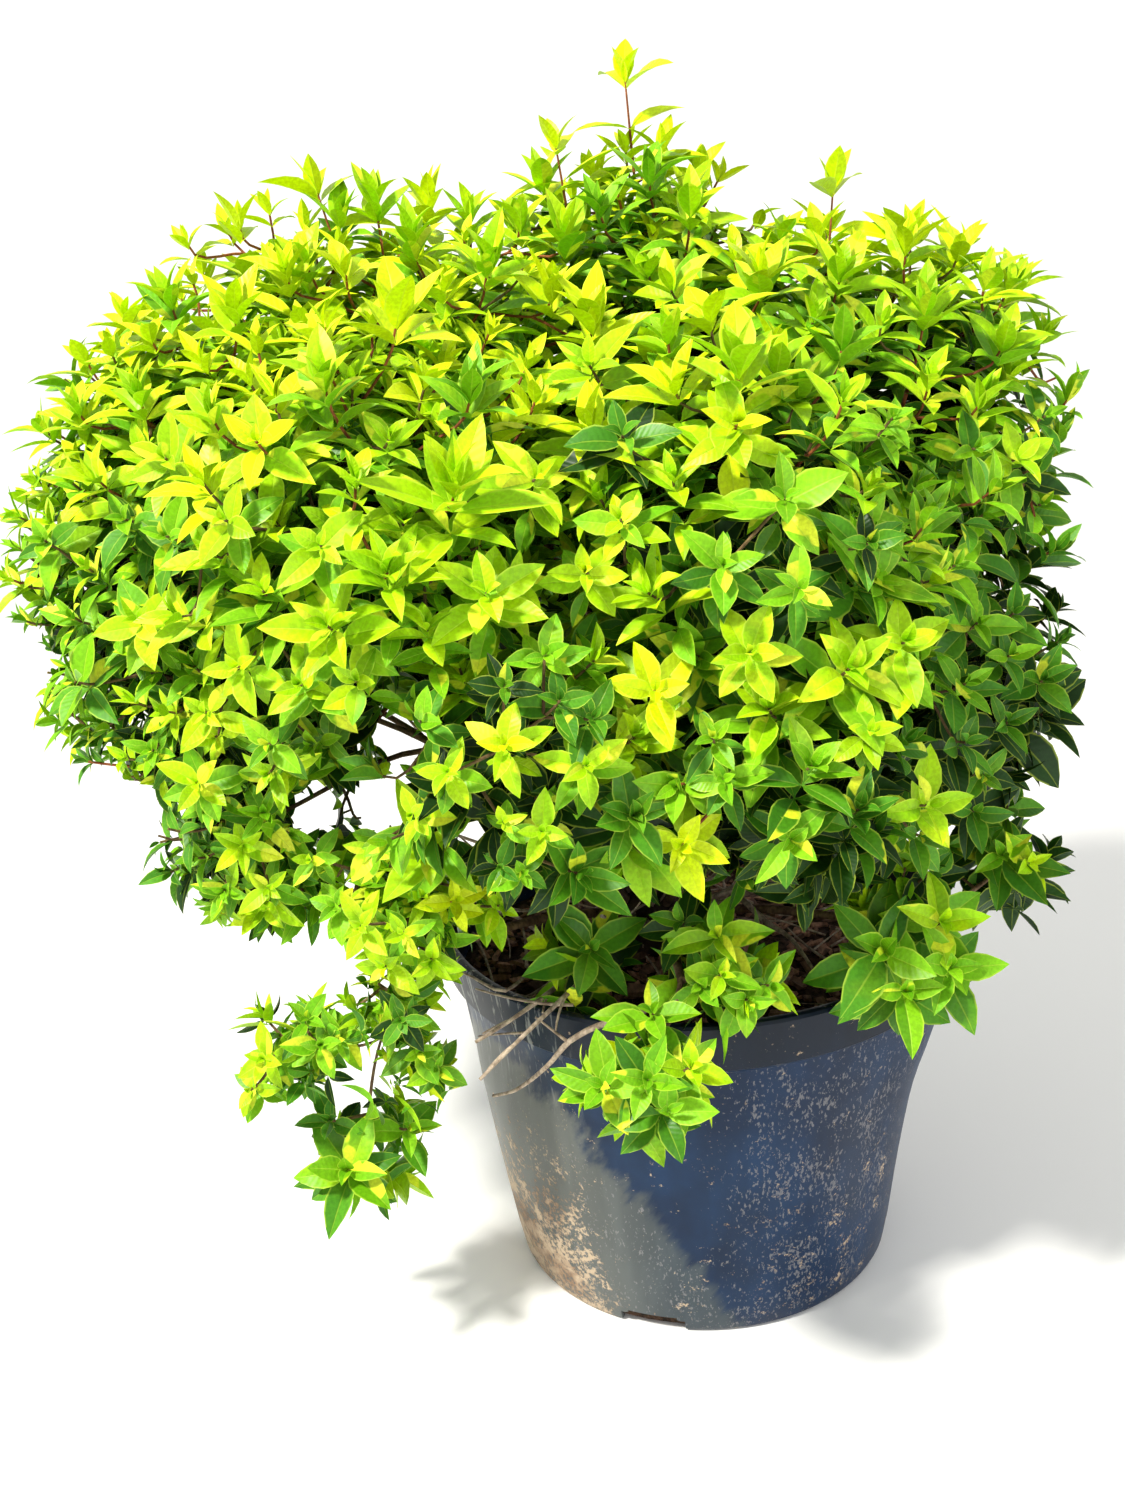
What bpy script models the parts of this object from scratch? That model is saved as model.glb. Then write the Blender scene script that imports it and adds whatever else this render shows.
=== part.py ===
"""A glossy abelia in a nursery pot, as named solids in metres, +Z up, origin under the middle of the pot.

The pot is a turned shell round a solid of bark mulch. A short woody crown stands on the mulch, and tapering
boughs spread from it. Every mass of foliage is one solid that keeps to its own space: a ball, cut off where
a neighbouring ball is nearer. Its stem starts at the tip of a bough, twigs leave the stem, and each twig ends
in two whorls of leaves.
"""

import math
import random

import bmesh
import bpy
from mathutils import Matrix, Vector

# Clearances
GAP = 0.0003                 # between pieces that meet
SLANT_GAP = 0.00036          # the same, where it is measured across a slope or a facet
SPACE_MARGIN = 0.0004        # a leaf stops this far inside its mass's own space
LIMB_CLEARANCE = 0.0012      # between foliage and the limbs of others
POT_CLEARANCE = 0.0015       # between foliage and the pot or the mulch
WELD = 0.00001
NEAR_CORNERS = 0.000003      # corners this near may be made one when the mesh is written

# Pot
POT_HEIGHT = 0.261
POT_STEPS = 36
RIM_RADIUS = 0.180
BAND_HEIGHT = 0.034
WALL_RADIUS_TOP = 0.171
BASE_RADIUS = 0.137
BASE_CHAMFER = 0.005
WALL = 0.003
RIM_INNER_RADIUS = 0.172
RIM_FLARE = 0.0015           # the mouth widens this much over the lip
RIM_EDGE = 0.0020            # cut off the rim's outer corner
BAND_DRAFT = 0.0015          # the band narrows this much downwards
BAND_STEP = 0.0045           # height of the slope under the band
LIP_DEPTH = 0.010
FLOOR = 0.004
FLOOR_CORNER = 0.002
DRAIN_SLOTS = 3
DRAIN_FIRST_ANGLE = math.radians(250)
DRAIN_WIDTH = 0.046
DRAIN_HEIGHT = 0.009
DRAIN_DEPTH = 0.030

# Mulch
MULCH_TOP = 0.238
MULCH_EDGE = 0.226
MULCH_FLAT_RADIUS = 0.050
MULCH_SHOULDER = 0.140

# Woody crown at the foot of the stems
FOOT_X = -0.030
FOOT_Y = 0.000
FOOT_RADIUS = 0.032
FOOT_RISE = 0.45             # of its radius, from the mulch to its middle
FOOT_SIDES = 16
FOOT_DOME_POINTS = 6
FACET_FACING = 0.5           # facets that face a limb less than this, as a cosine, aren't looked at

# Limbs
BOUGH_SIDES_RESOLUTION = 1   # six sides
BOUGH_POINTS = 6
BOUGH_BEND_FOOT = 0.40       # reach of a bough's first heading, as a share of its span
BOUGH_BEND_TIP = 0.34
MAIN_BASE_RADIUS = 0.0048
MAIN_TIP_RADIUS = 0.0036
SHOOT_BASE_RADIUS = 0.0034
SHOOT_TIP_RADIUS = 0.0028
BARE_TIP_RADIUS = 0.0012
STEM_POINTS = 4
STEM_END_RADIUS = 0.0014
STEM_STRAIGHT = 0.004        # a stem leaves its bough this far in line with it
STEM_BEND = 0.28
STEM_SPREAD = 0.9            # of its own heading, how far a stem of a fork leans outwards at first
STEM_AIM = 0.5               # and how far it leans towards its ball

# Crown, as balls
SKIRT = {
    "count": 8, "start": 31, "x": -0.070, "z": 0.452,
    "rx": 0.240, "ry": 0.190, "ball": 0.092, "tilt": -0.030,
}
SHOULDER = {
    "count": 6, "start": 0, "x": -0.085, "z": 0.572,
    "rx": 0.215, "ry": 0.155, "ball": 0.116, "tilt": -0.015,
}
SINGLE_BALLS = {
    "top_left": (-0.145, 0.020, 0.618, 0.115),
    "top_right": (0.035, 0.030, 0.610, 0.115),
    "top_back": (-0.008, 0.095, 0.692, 0.090),
    "high_left": (-0.245, 0.060, 0.652, 0.080),
    "high_right": (0.165, 0.040, 0.635, 0.076),
    "out_left": (-0.340, -0.040, 0.515, 0.095),
    "low_left": (-0.278, -0.095, 0.382, 0.074),
    "low_front_left": (-0.182, -0.150, 0.352, 0.062),
    "trail_top": (-0.200, -0.155, 0.284, 0.044),
    "trail_side": (-0.268, -0.145, 0.244, 0.046),
    "trail_inner": (-0.188, -0.148, 0.226, 0.040),
    "trail_tip": (-0.234, -0.120, 0.148, 0.056),
    "rim_front": (-0.051, -0.238, 0.254, 0.054),
    "rim_middle": (0.007, -0.165, 0.298, 0.048),
    "rim_left": (-0.080, -0.120, 0.283, 0.040),
    "rim_right": (0.117, -0.150, 0.292, 0.058),
    "low_right": (0.212, -0.055, 0.302, 0.050),
}

# Boughs that carry the ring masses leave the foot all round and end inside the crown
RING_REACH = 0.46            # of the skirt's own offset from the crown's axis
RING_TIP_Z = 0.405
RING_LIFTS = (44, 62)        # degrees above level at the foot, turn and turn about
RING_ARRIVAL = 55            # degrees above level at the tip

# Other boughs: where each ends, its azimuth and lift at the foot, and those at its tip, in degrees
SINGLE_BOUGHS = {
    "bough_top": {"tip": (-0.055, 0.030, 0.455), "leave": (90, 86), "arrive": (90, 80), "thick": True},
    "bough_trail_upper": {"tip": (-0.180, -0.128, 0.297), "leave": (221, 24), "arrive": (222, 5)},
    "bough_front": {"tip": (-0.022, -0.192, 0.300), "leave": (274, 26), "arrive": (272, 0)},
    "bough_rim_right": {"tip": (0.128, -0.112, 0.288), "leave": (322, 20), "arrive": (318, 6)},
    "bough_rim_left": {"tip": (-0.070, -0.090, 0.272), "leave": (245, 18), "arrive": (250, 30)},
    "bare_shoot_1": {"tip": (-0.150, -0.172, 0.256), "leave": (236, 3), "arrive": (200, -20)},
    "bare_shoot_2": {"tip": (-0.148, -0.190, 0.240), "leave": (262, 20), "arrive": (192, -42)},
}
TRAIL_FORK = (-0.213, -0.138, 0.243)

# The boughs that carry each mass, where that isn't the ring bough under a skirt mass
CARRIERS = {
    "shoulder_1": "bough_8",
    "shoulder_2": "bough_2",
    "shoulder_3": "bough_3",
    "shoulder_4": "bough_4",
    "shoulder_5": "bough_6",
    "shoulder_6": "bough_7",
    "top_left": "bough_top",
    "top_right": "bough_top",
    "top_back": "bough_top",
    "high_left": "bough_4",
    "high_right": "bough_1",
    "out_left": "bough_5",
    "low_left": "bough_5",
    "low_front_left": "bough_trail_upper",
    "trail_top": "bough_trail_upper",
    "trail_side": "bough_trail_lower",
    "trail_inner": "bough_trail_lower",
    "trail_tip": "bough_trail_lower",
    "rim_front": "bough_front",
    "rim_middle": "bough_front",
    "rim_left": "bough_rim_left",
    "rim_right": "bough_rim_right",
    "low_right": "bough_rim_right",
}

# Shoots that stand above the crown: the mass that each grows from, its foot and its tip
SPIKES = {
    "top_back": ((-0.012, 0.085, 0.752), (-0.002, 0.080, 0.812)),
    "top_right": ((0.108, 0.045, 0.690), (0.112, 0.045, 0.742)),
    "high_left": ((-0.208, 0.050, 0.712), (-0.220, 0.048, 0.752)),
}

# Ways through the left of the crown where the sky shows, each round a line that runs back and down
SKY_GAPS = {
    "gap_upper": (-0.198, 0.413, 0.014),
    "gap_middle_left": (-0.266, 0.362, 0.018),
    "gap_middle_right": (-0.228, 0.357, 0.017),
    "gap_right": (-0.156, 0.336, 0.013),
}
SKY_FALL = -0.33             # rise of such a line for each metre that it runs back
SKY_FAN = 1 / 1.108          # such lines spread from a place this far in front
SKY_MIDDLE = -0.085

# Foliage
LEAF_SHARE = 0.66            # of its ball's radius, between these lengths
LEAF_SHORTEST = 0.056
LEAF_LONGEST = 0.080
LEAF_WIDTH = 0.46            # of its length
LEAF_THICKNESS = 0.0024
LEAF_WIDEST = 0.40           # of its length from the root
LEAF_SUNK = 0.0012           # the root lies this far past the twig's middle
LEAF_TRIES = (1.0, 0.82, 0.66)   # of its length, where the space is too tight for more
WHORL = 3                    # leaves to a whorl, one for each side of a twig
WHORL_STEP = 0.0075          # between the two whorls of a rosette, along the twig
INNER_WHORL = {"tilt": 34, "length": 0.86}   # degrees from the twig's line
OUTER_WHORL = {"tilt": 66, "length": 1.04}
LEAF_TURN = 0.12             # chance turn of a leaf in its whorl, in radians
LEAF_NOD = 7                 # chance change of its tilt, in degrees
LEAF_LENGTHS = (0.90, 1.06)
SHOOT_SPACING = 1.72         # leaf lengths
TWIG_BASE_RADIUS = 0.0022
TWIG_TIP_RADIUS = 0.0030
TWIG_FORKS = (0.35, 0.7)     # places along a twig where another may leave it
TWIG_THRIFT = 0.5            # how much a twig's start close to the stem counts against a short twig
AIM_SCATTER = 0.12
DEPTH_SCATTER = (0.92, 1.06)
BURIED_DEPTH = 0.022         # a shoot this deep inside a neighbouring ball isn't grown
LEAST_DEPTH = 0.30           # of its ball, from the middle to a rosette
LEAST_SHOOTS = 3
SPIKE_WHORLS = ((0.05, OUTER_WHORL, 0.050), (0.5, OUTER_WHORL, 0.038), (0.96, INNER_WHORL, 0.042))
ATTEMPTS = 9                 # a mass whose pieces don't fuse cleanly is grown anew
SEED = 7

# Leaf colours, as linear light, and where they change
LEAF_GREEN = (0.10, 0.22, 0.03)
LEAF_YELLOW = (0.48, 0.56, 0.04)
SHADE_HEIGHT = 0.30
SUN_HEIGHT = 0.75
SUN_SIDE = 0.60


def clear_scene():
    for item in list(bpy.data.objects):
        bpy.data.objects.remove(item, do_unlink=True)


def material(name, colour, roughness, metallic=0.0):
    made = bpy.data.materials.new(name)
    made.use_nodes = True
    shader = made.node_tree.nodes["Principled BSDF"]
    shader.inputs["Base Color"].default_value = (*colour, 1.0)
    shader.inputs["Roughness"].default_value = roughness
    shader.inputs["Metallic"].default_value = metallic
    return made


def new_collection(name):
    made = bpy.data.collections.new(name)
    bpy.context.scene.collection.children.link(made)
    return made


def mesh_object(name, work, collection):
    mesh = bpy.data.meshes.new(name)
    work.to_mesh(mesh)
    work.free()
    item = bpy.data.objects.new(name, mesh)
    collection.objects.link(item)
    return item


def finished_mesh(item):
    """The mesh of an object with its modifiers applied, or of a curve."""
    graph = bpy.context.evaluated_depsgraph_get()
    graph.update()
    return bpy.data.meshes.new_from_object(item.evaluated_get(graph))


def turned(name, profile, steps, collection):
    """A solid of revolution from a profile of (radius, height) that runs down its outer side."""
    work = bmesh.new()
    points = [work.verts.new((radius, 0.0, height)) for radius, height in profile]
    for first, second in zip(points, points[1:]):
        work.edges.new((first, second))
    item = mesh_object(name, work, collection)
    screw = item.modifiers.new("Turn", "SCREW")
    screw.steps = steps
    screw.render_steps = steps
    screw.use_merge_vertices = True
    screw.merge_threshold = WELD
    return item


def shade_round(item, angle=35):
    item.data.shade_smooth()
    item.data.set_sharp_from_angle(angle=math.radians(angle))


# Pot and mulch


def inner_radius(height):
    """Radius of the pot's inner wall, under the lip."""
    top = POT_HEIGHT - BAND_HEIGHT
    share = min(max(height / top, 0.0), 1.0)
    return BASE_RADIUS + (WALL_RADIUS_TOP - BASE_RADIUS) * share - WALL


def outer_radius(height):
    top = POT_HEIGHT - BAND_HEIGHT
    if height >= top:
        return RIM_RADIUS
    return BASE_RADIUS + (WALL_RADIUS_TOP - BASE_RADIUS) * max(height, 0.0) / top


def mulch_height(radius):
    if radius <= MULCH_FLAT_RADIUS:
        return MULCH_TOP
    if radius >= MULCH_SHOULDER:
        return MULCH_EDGE
    share = (radius - MULCH_FLAT_RADIUS) / (MULCH_SHOULDER - MULCH_FLAT_RADIUS)
    return MULCH_TOP + (MULCH_EDGE - MULCH_TOP) * share


def make_pot(collection, cutters, look):
    band_foot = POT_HEIGHT - BAND_HEIGHT
    profile = [
        (RIM_INNER_RADIUS + RIM_FLARE, POT_HEIGHT),
        (RIM_RADIUS - RIM_EDGE, POT_HEIGHT),
        (RIM_RADIUS, POT_HEIGHT - RIM_EDGE),
        (RIM_RADIUS - BAND_DRAFT, band_foot),
        (outer_radius(band_foot - BAND_STEP), band_foot - BAND_STEP),
        (outer_radius(BASE_CHAMFER), BASE_CHAMFER),
        (BASE_RADIUS - BASE_CHAMFER, 0.0),
        (0.0, 0.0),
    ]
    inside = [
        (0.0, FLOOR),
        (inner_radius(FLOOR) - FLOOR_CORNER, FLOOR),
        (inner_radius(band_foot), band_foot),
        (RIM_INNER_RADIUS, POT_HEIGHT - LIP_DEPTH),
        (RIM_INNER_RADIUS + RIM_FLARE, POT_HEIGHT),
    ]
    shell = turned("pot_shell", profile + inside, POT_STEPS, collection)
    pot = bpy.data.objects.new("pot", finished_mesh(shell))
    collection.objects.link(pot)
    bpy.data.objects.remove(shell, do_unlink=True)
    weld(pot.data, WELD)
    for index in range(DRAIN_SLOTS):
        angle = DRAIN_FIRST_ANGLE + 2 * math.pi * index / DRAIN_SLOTS
        work = bmesh.new()
        bmesh.ops.create_cube(work, size=1.0)
        size = Matrix.Diagonal((DRAIN_DEPTH, DRAIN_WIDTH, 2 * DRAIN_HEIGHT, 1.0))
        place = Matrix.Rotation(angle, 4, "Z") @ Matrix.Translation((BASE_RADIUS, 0.0, 0.0))
        bmesh.ops.transform(work, matrix=place @ size, verts=work.verts)
        cutter = mesh_object(f"drain_cutter_{index + 1}", work, cutters)
        cutter.hide_render = True
        cutter.display_type = "WIRE"
        cut = pot.modifiers.new(f"Drain {index + 1}", "BOOLEAN")
        cut.operation = "DIFFERENCE"
        cut.object = cutter
    pot.data.materials.append(look)
    shade_round(pot)
    return pot


def make_mulch(collection, look):
    foot = FLOOR + GAP
    profile = [
        (0.0, MULCH_TOP),
        (MULCH_FLAT_RADIUS, MULCH_TOP),
        (MULCH_SHOULDER, MULCH_EDGE),
        (inner_radius(MULCH_EDGE) - SLANT_GAP, MULCH_EDGE),
        (inner_radius(foot) - FLOOR_CORNER - SLANT_GAP, foot),
        (0.0, foot),
    ]
    mulch = turned("mulch", profile, POT_STEPS, collection)
    mulch.data.materials.append(look)
    return mulch


def weld(mesh, distance):
    work = bmesh.new()
    work.from_mesh(mesh)
    bmesh.ops.remove_doubles(work, verts=work.verts, dist=distance)
    work.to_mesh(mesh)
    work.free()


# Limbs

FOOT_CENTRE = Vector((FOOT_X, FOOT_Y, MULCH_TOP + GAP + FOOT_RADIUS * FOOT_RISE))


def foot_profile():
    """Radius and height over its middle of the foot's corners, from the top of the dome down to the mulch."""
    low = math.asin((MULCH_TOP + GAP - FOOT_CENTRE.z) / FOOT_RADIUS)
    profile = [(0.0, FOOT_RADIUS)]
    for index in range(1, FOOT_DOME_POINTS + 1):
        angle = math.pi / 2 + (low - math.pi / 2) * index / FOOT_DOME_POINTS
        profile.append((FOOT_RADIUS * math.cos(angle), FOOT_RADIUS * math.sin(angle)))
    return profile


def make_foot(collection, look):
    """The woody crown: a dome with a flat cut on the mulch."""
    profile = foot_profile()
    foot = turned("foot", profile + [(0.0, profile[-1][1])], FOOT_SIDES, collection)
    foot.location = FOOT_CENTRE
    foot.data.materials.append(look)
    return foot


def foot_reach(way, heading, radius):
    """How far out along way a limb's flat end, square to its heading, lies the gap's width off a facet."""
    reaches = []
    profile = foot_profile()
    flat = math.cos(math.pi / FOOT_SIDES)
    for (inner, top), (outer, low) in zip(profile, profile[1:]):
        slope = Vector((top - low, (outer - inner) * flat)).normalized()
        support = slope.dot(Vector((inner * flat, top)))
        for side in range(FOOT_SIDES):
            azimuth = 2 * math.pi * (side + 0.5) / FOOT_SIDES
            normal = Vector((slope.x * math.cos(azimuth), slope.x * math.sin(azimuth), slope.y))
            square = normal.dot(way)
            if square > FACET_FACING:
                tilt = normal.cross(heading).length
                reaches.append((support + GAP + radius * tilt) / square)
    return min(reaches)


def direction(azimuth, lift):
    turn, rise = math.radians(azimuth), math.radians(lift)
    return Vector((math.cos(turn) * math.cos(rise), math.sin(turn) * math.cos(rise), math.sin(rise)))


def bezier(start, first, second, end, count):
    points = []
    for index in range(count):
        t = index / (count - 1)
        s = 1 - t
        points.append(start * s ** 3 + first * (3 * s * s * t) + second * (3 * s * t * t) + end * t ** 3)
    return points


class Limb:
    """A tapering limb along points, with a radius at each end."""

    def __init__(self, name, points, base_radius, tip_radius):
        self.name = name
        self.points = points
        last = len(points) - 1
        self.radii = [base_radius + (tip_radius - base_radius) * k / last for k in range(last + 1)]

    @property
    def tip(self):
        return self.points[-1]

    @property
    def heading(self):
        return (self.points[-1] - self.points[-2]).normalized()


def curve_object(name, limb, resolution, collection):
    data = bpy.data.curves.new(name, "CURVE")
    data.dimensions = "3D"
    data.bevel_depth = 1.0
    data.bevel_resolution = resolution
    data.use_fill_caps = True
    spline = data.splines.new("POLY")
    spline.points.add(len(limb.points) - 1)
    for point, place, radius in zip(spline.points, limb.points, limb.radii):
        point.co = (*place, 1.0)
        point.radius = radius
    item = bpy.data.objects.new(name, data)
    collection.objects.link(item)
    return item


def plan_bough(name, tip, leave, arrive, base_radius, tip_radius):
    way = direction(*leave)
    tip = Vector(tip)
    span = (tip - FOOT_CENTRE).length - FOOT_RADIUS
    arriving = tip - direction(*arrive) * span * BOUGH_BEND_TIP

    def route(reach):
        start = FOOT_CENTRE + way * reach
        return bezier(start, start + way * span * BOUGH_BEND_FOOT, arriving, tip, BOUGH_POINTS)

    # A first route gives the heading of the flat end, and the second one is seated by it
    first = route(FOOT_RADIUS)
    heading = (first[1] - first[0]).normalized()
    return Limb(name, route(foot_reach(way, heading, base_radius)), base_radius, tip_radius)


def ring(prefix, rule):
    balls = {}
    for index in range(rule["count"]):
        angle = math.radians(rule["start"] + 360 * index / rule["count"])
        place = Vector((rule["x"] + rule["rx"] * math.cos(angle), rule["ry"] * math.sin(angle),
                        rule["z"] + rule["tilt"] * math.cos(angle)))
        balls[f"{prefix}_{index + 1}"] = (place, rule["ball"])
    return balls


def crown_balls():
    balls = {**ring("skirt", SKIRT), **ring("shoulder", SHOULDER)}
    for name, (x, y, z, radius) in SINGLE_BALLS.items():
        balls[name] = (Vector((x, y, z)), radius)
    return balls


def plan_boughs():
    boughs = {}
    for index in range(SKIRT["count"]):
        turn = SKIRT["start"] + 360 * index / SKIRT["count"]
        angle = math.radians(turn)
        tip = Vector((SKIRT["x"] + SKIRT["rx"] * RING_REACH * math.cos(angle),
                      SKIRT["ry"] * RING_REACH * math.sin(angle), RING_TIP_Z))
        leave = (turn, RING_LIFTS[index % 2])
        boughs[f"bough_{index + 1}"] = plan_bough(f"bough_{index + 1}", tip, leave, (turn, RING_ARRIVAL),
                                                  MAIN_BASE_RADIUS, MAIN_TIP_RADIUS)
    for name, rule in SINGLE_BOUGHS.items():
        base, end = SHOOT_BASE_RADIUS, SHOOT_TIP_RADIUS
        if rule.get("thick"):
            base, end = MAIN_BASE_RADIUS, MAIN_TIP_RADIUS
        if name.startswith("bare"):
            base, end = SHOOT_TIP_RADIUS, BARE_TIP_RADIUS
        boughs[name] = plan_bough(name, rule["tip"], rule["leave"], rule["arrive"], base, end)
    return boughs


def fork(bough, targets):
    """The limbs that leave a bough's tip side by side and part towards their targets, as {name: place}."""
    heading = bough.heading
    first = heading.orthogonal().normalized()
    second = heading.cross(first)
    count = len(targets)
    tip_radius = bough.radii[-1]
    half = math.sin(math.pi / count) if count > 1 else 0.0
    # Limbs of this radius, in a ring that just fits the tip, keep the gap between neighbours
    radius = tip_radius * 0.95 if count == 1 else (tip_radius * half - SLANT_GAP / 2) / (1 + half)
    ring_radius = tip_radius - radius if count > 1 else 0.0

    def bearing(name):
        way = targets[name] - bough.tip
        return math.atan2(way.dot(second), way.dot(first))

    order = sorted(targets, key=bearing)
    # The ring is turned so that each limb starts on the side that it leaves for, as near as they all can
    offsets = [bearing(name) - 2 * math.pi * index / count for index, name in enumerate(order)]
    turn = math.atan2(sum(map(math.sin, offsets)), sum(map(math.cos, offsets)))
    limbs = {}
    for index, name in enumerate(order):
        angle = turn + 2 * math.pi * index / count
        side = first * math.cos(angle) + second * math.sin(angle)
        start = bough.tip + heading * SLANT_GAP + side * ring_radius
        bend = start + heading * STEM_STRAIGHT
        end = targets[name]
        span = (end - bend).length
        way = (end - bend).normalized()
        leave = (heading + side * (STEM_SPREAD if count > 1 else 0.0) + way * STEM_AIM).normalized()
        reach = span * STEM_BEND
        points = [start] + bezier(bend, bend + leave * reach, end - way * reach, end, STEM_POINTS)
        limbs[name] = Limb(name, points, radius, min(STEM_END_RADIUS, radius))
    return limbs


def plan_stems(balls, boughs):
    """The stem of each mass, from its bough's tip to the middle of its ball.

    The trailing limb's lower half is one of the stems at its upper half's tip, and becomes a bough.
    """
    served = {}
    for name, (centre, _) in balls.items():
        carrier = CARRIERS.get(name, name.replace("skirt", "bough"))
        served.setdefault(carrier, {})[name] = centre
    lower = "bough_trail_lower"
    served["bough_trail_upper"][lower] = Vector(TRAIL_FORK)
    stems = fork(boughs["bough_trail_upper"], served.pop("bough_trail_upper"))
    radius = stems[lower].radii[0]
    boughs[lower] = Limb(lower, stems.pop(lower).points, radius, radius)
    for carrier, targets in served.items():
        stems.update(fork(boughs[carrier], targets))
    return stems


# Distances


def segment_distance(a, b, c, d):
    """The least distance between the segments a to b and c to d."""
    u, v, w = b - a, d - c, a - c
    uu, uv, vv, uw, vw = u.dot(u), u.dot(v), v.dot(v), u.dot(w), v.dot(w)
    base = uu * vv - uv * uv
    s = min(max((uv * vw - vv * uw) / base, 0.0), 1.0) if base > 1e-14 else 0.0
    t = min(max((uv * s + vw) / vv, 0.0), 1.0) if vv > 1e-14 else 0.0
    s = min(max((uv * t - uw) / uu, 0.0), 1.0) if uu > 1e-14 else 0.0
    return (a + u * s - c - v * t).length


def crosses(corners, a, b):
    """Whether the segment a to b goes through the triangle."""
    first, second, third = corners
    normal = (second - first).cross(third - first)
    before, after = (a - first).dot(normal), (b - first).dot(normal)
    if before * after > 0 or abs(before - after) < 1e-18:
        return False
    place = a.lerp(b, before / (before - after))
    pairs = ((first, second), (second, third), (third, first))
    sides = [(q - p).cross(place - p).dot(normal) for p, q in pairs]
    return all(side >= 0 for side in sides) or all(side <= 0 for side in sides)


def near_limb(root, tip, sides, limbs):
    """Whether a leaf, as a kite, comes too near a limb."""
    middle = (root + tip) * 0.5
    reach = (tip - root).length * 0.6
    edges = ((root, sides[0]), (sides[0], tip), (tip, sides[1]), (sides[1], root), (root, tip))
    halves = ((root, sides[0], tip), (root, tip, sides[1]))
    for limb in limbs:
        pairs = zip(limb.points, limb.points[1:], limb.radii)
        for a, b, radius in pairs:
            least = radius + LIMB_CLEARANCE + LEAF_THICKNESS / 2
            if segment_distance(a, b, middle, middle) > reach + least:
                continue
            if any(crosses(half, a, b) for half in halves):
                return True
            if any(segment_distance(a, b, p, q) < least for p, q in edges):
                return True
    return False


def line_near_limb(start, end, radius, limbs):
    for limb in limbs:
        for a, b, limb_radius in zip(limb.points, limb.points[1:], limb.radii):
            if segment_distance(a, b, start, end) < limb_radius + radius + LIMB_CLEARANCE:
                return True
    return False


def clear_of_pot(place):
    radius = math.hypot(place.x, place.y)
    if place.z > POT_HEIGHT + POT_CLEARANCE:
        return True
    if radius > outer_radius(place.z) + POT_CLEARANCE:
        return place.z > POT_CLEARANCE
    inside = radius < RIM_INNER_RADIUS - WALL - POT_CLEARANCE
    return inside and place.z > mulch_height(radius) + POT_CLEARANCE


def in_sky_gap(place):
    for x, z, radius in SKY_GAPS.values():
        line = Vector((x + (x - SKY_MIDDLE) * SKY_FAN * place.y, place.y, z + SKY_FALL * place.y))
        if (place - line).length < radius:
            return True
    return False


class Space:
    """A mass's own space: its ball, cut by the planes that share out the overlaps with its neighbours."""

    def __init__(self, name, balls):
        self.centre, self.radius = balls[name]
        self.others = [ball for other, ball in balls.items() if other != name]

    def holds(self, place, margin=SPACE_MARGIN):
        own = (place - self.centre).length_squared - self.radius ** 2
        if own > 0:
            return False
        for centre, radius in self.others:
            power = (place - centre).length_squared - radius ** 2
            if power - own < 2 * margin * (centre - self.centre).length:
                return False
        return True

    def free(self, place, margin=SPACE_MARGIN):
        """Whether a place outside the ball is in no other mass's space either."""
        own = (place - self.centre).length_squared - self.radius ** 2
        for centre, radius in self.others:
            power = (place - centre).length_squared - radius ** 2
            if power < 2 * margin * radius and power - own < 2 * margin * (centre - self.centre).length:
                return False
        return True

    def buried(self, place):
        return any((place - centre).length < radius - BURIED_DEPTH for centre, radius in self.others)


# Foliage


def leaf_corners(root, way, face, length):
    """Root, tip and the two side corners of a leaf that grows along way with its upper side to face."""
    across = way.cross(face).normalized()
    widest = root + way * (length * LEAF_WIDEST)
    half = across * (length * LEAF_WIDTH / 2)
    return root, root + way * length, (widest + half, widest - half)


def leaf_piece(root, way, face, length):
    """A leaf folded along its middle: a ball of three sides, drawn out to a root, a tip, edges and a keel."""
    across = way.cross(face).normalized()
    normal = across.cross(way).normalized()
    work = bmesh.new()
    bmesh.ops.create_uvsphere(work, u_segments=3, v_segments=2, radius=1.0)
    equator = math.sin(math.pi / 3)
    for corner in work.verts:
        x, y, z = corner.co
        along = 1.0 if z > 0.5 else 0.0 if z < -0.5 else LEAF_WIDEST
        keel = 1.0 if x > 0.5 else 0.0
        corner.co = (root + way * (along * length) + across * (y / equator * length * LEAF_WIDTH / 2)
                     - normal * (keel * LEAF_THICKNESS))
    bmesh.ops.recalc_face_normals(work, faces=work.faces)
    return work


def twig_piece(start, end, base_radius, tip_radius, side):
    """A tapering twig of three sides, one of which faces side."""
    way = (end - start).normalized()
    across = way.cross(side).normalized()
    level = across.cross(way)
    work = bmesh.new()
    bmesh.ops.create_cone(work, cap_ends=True, cap_tris=False, segments=WHORL, radius1=base_radius,
                          radius2=tip_radius, depth=(end - start).length)
    work.verts.ensure_lookup_table()
    corner = work.verts[0].co
    edge_turn = math.atan2(corner.y, corner.x)
    frame = Matrix((level, across, way)).transposed().to_4x4()
    place = Matrix.Translation((start + end) * 0.5) @ frame @ Matrix.Rotation(math.pi - edge_turn, 4, "Z")
    bmesh.ops.transform(work, matrix=place, verts=work.verts)
    return work


def even_directions(count, dice):
    """Directions spread evenly over a ball, turned as a whole by chance."""
    golden = math.pi * (3 - math.sqrt(5))
    turn = dice.uniform(0, 2 * math.pi)
    spread = []
    for index in range(count):
        z = 1 - 2 * (index + 0.5) / count
        flat = math.sqrt(1 - z * z)
        angle = golden * index + turn
        spread.append(Vector((flat * math.cos(angle), flat * math.sin(angle), z)))
    return spread


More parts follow.
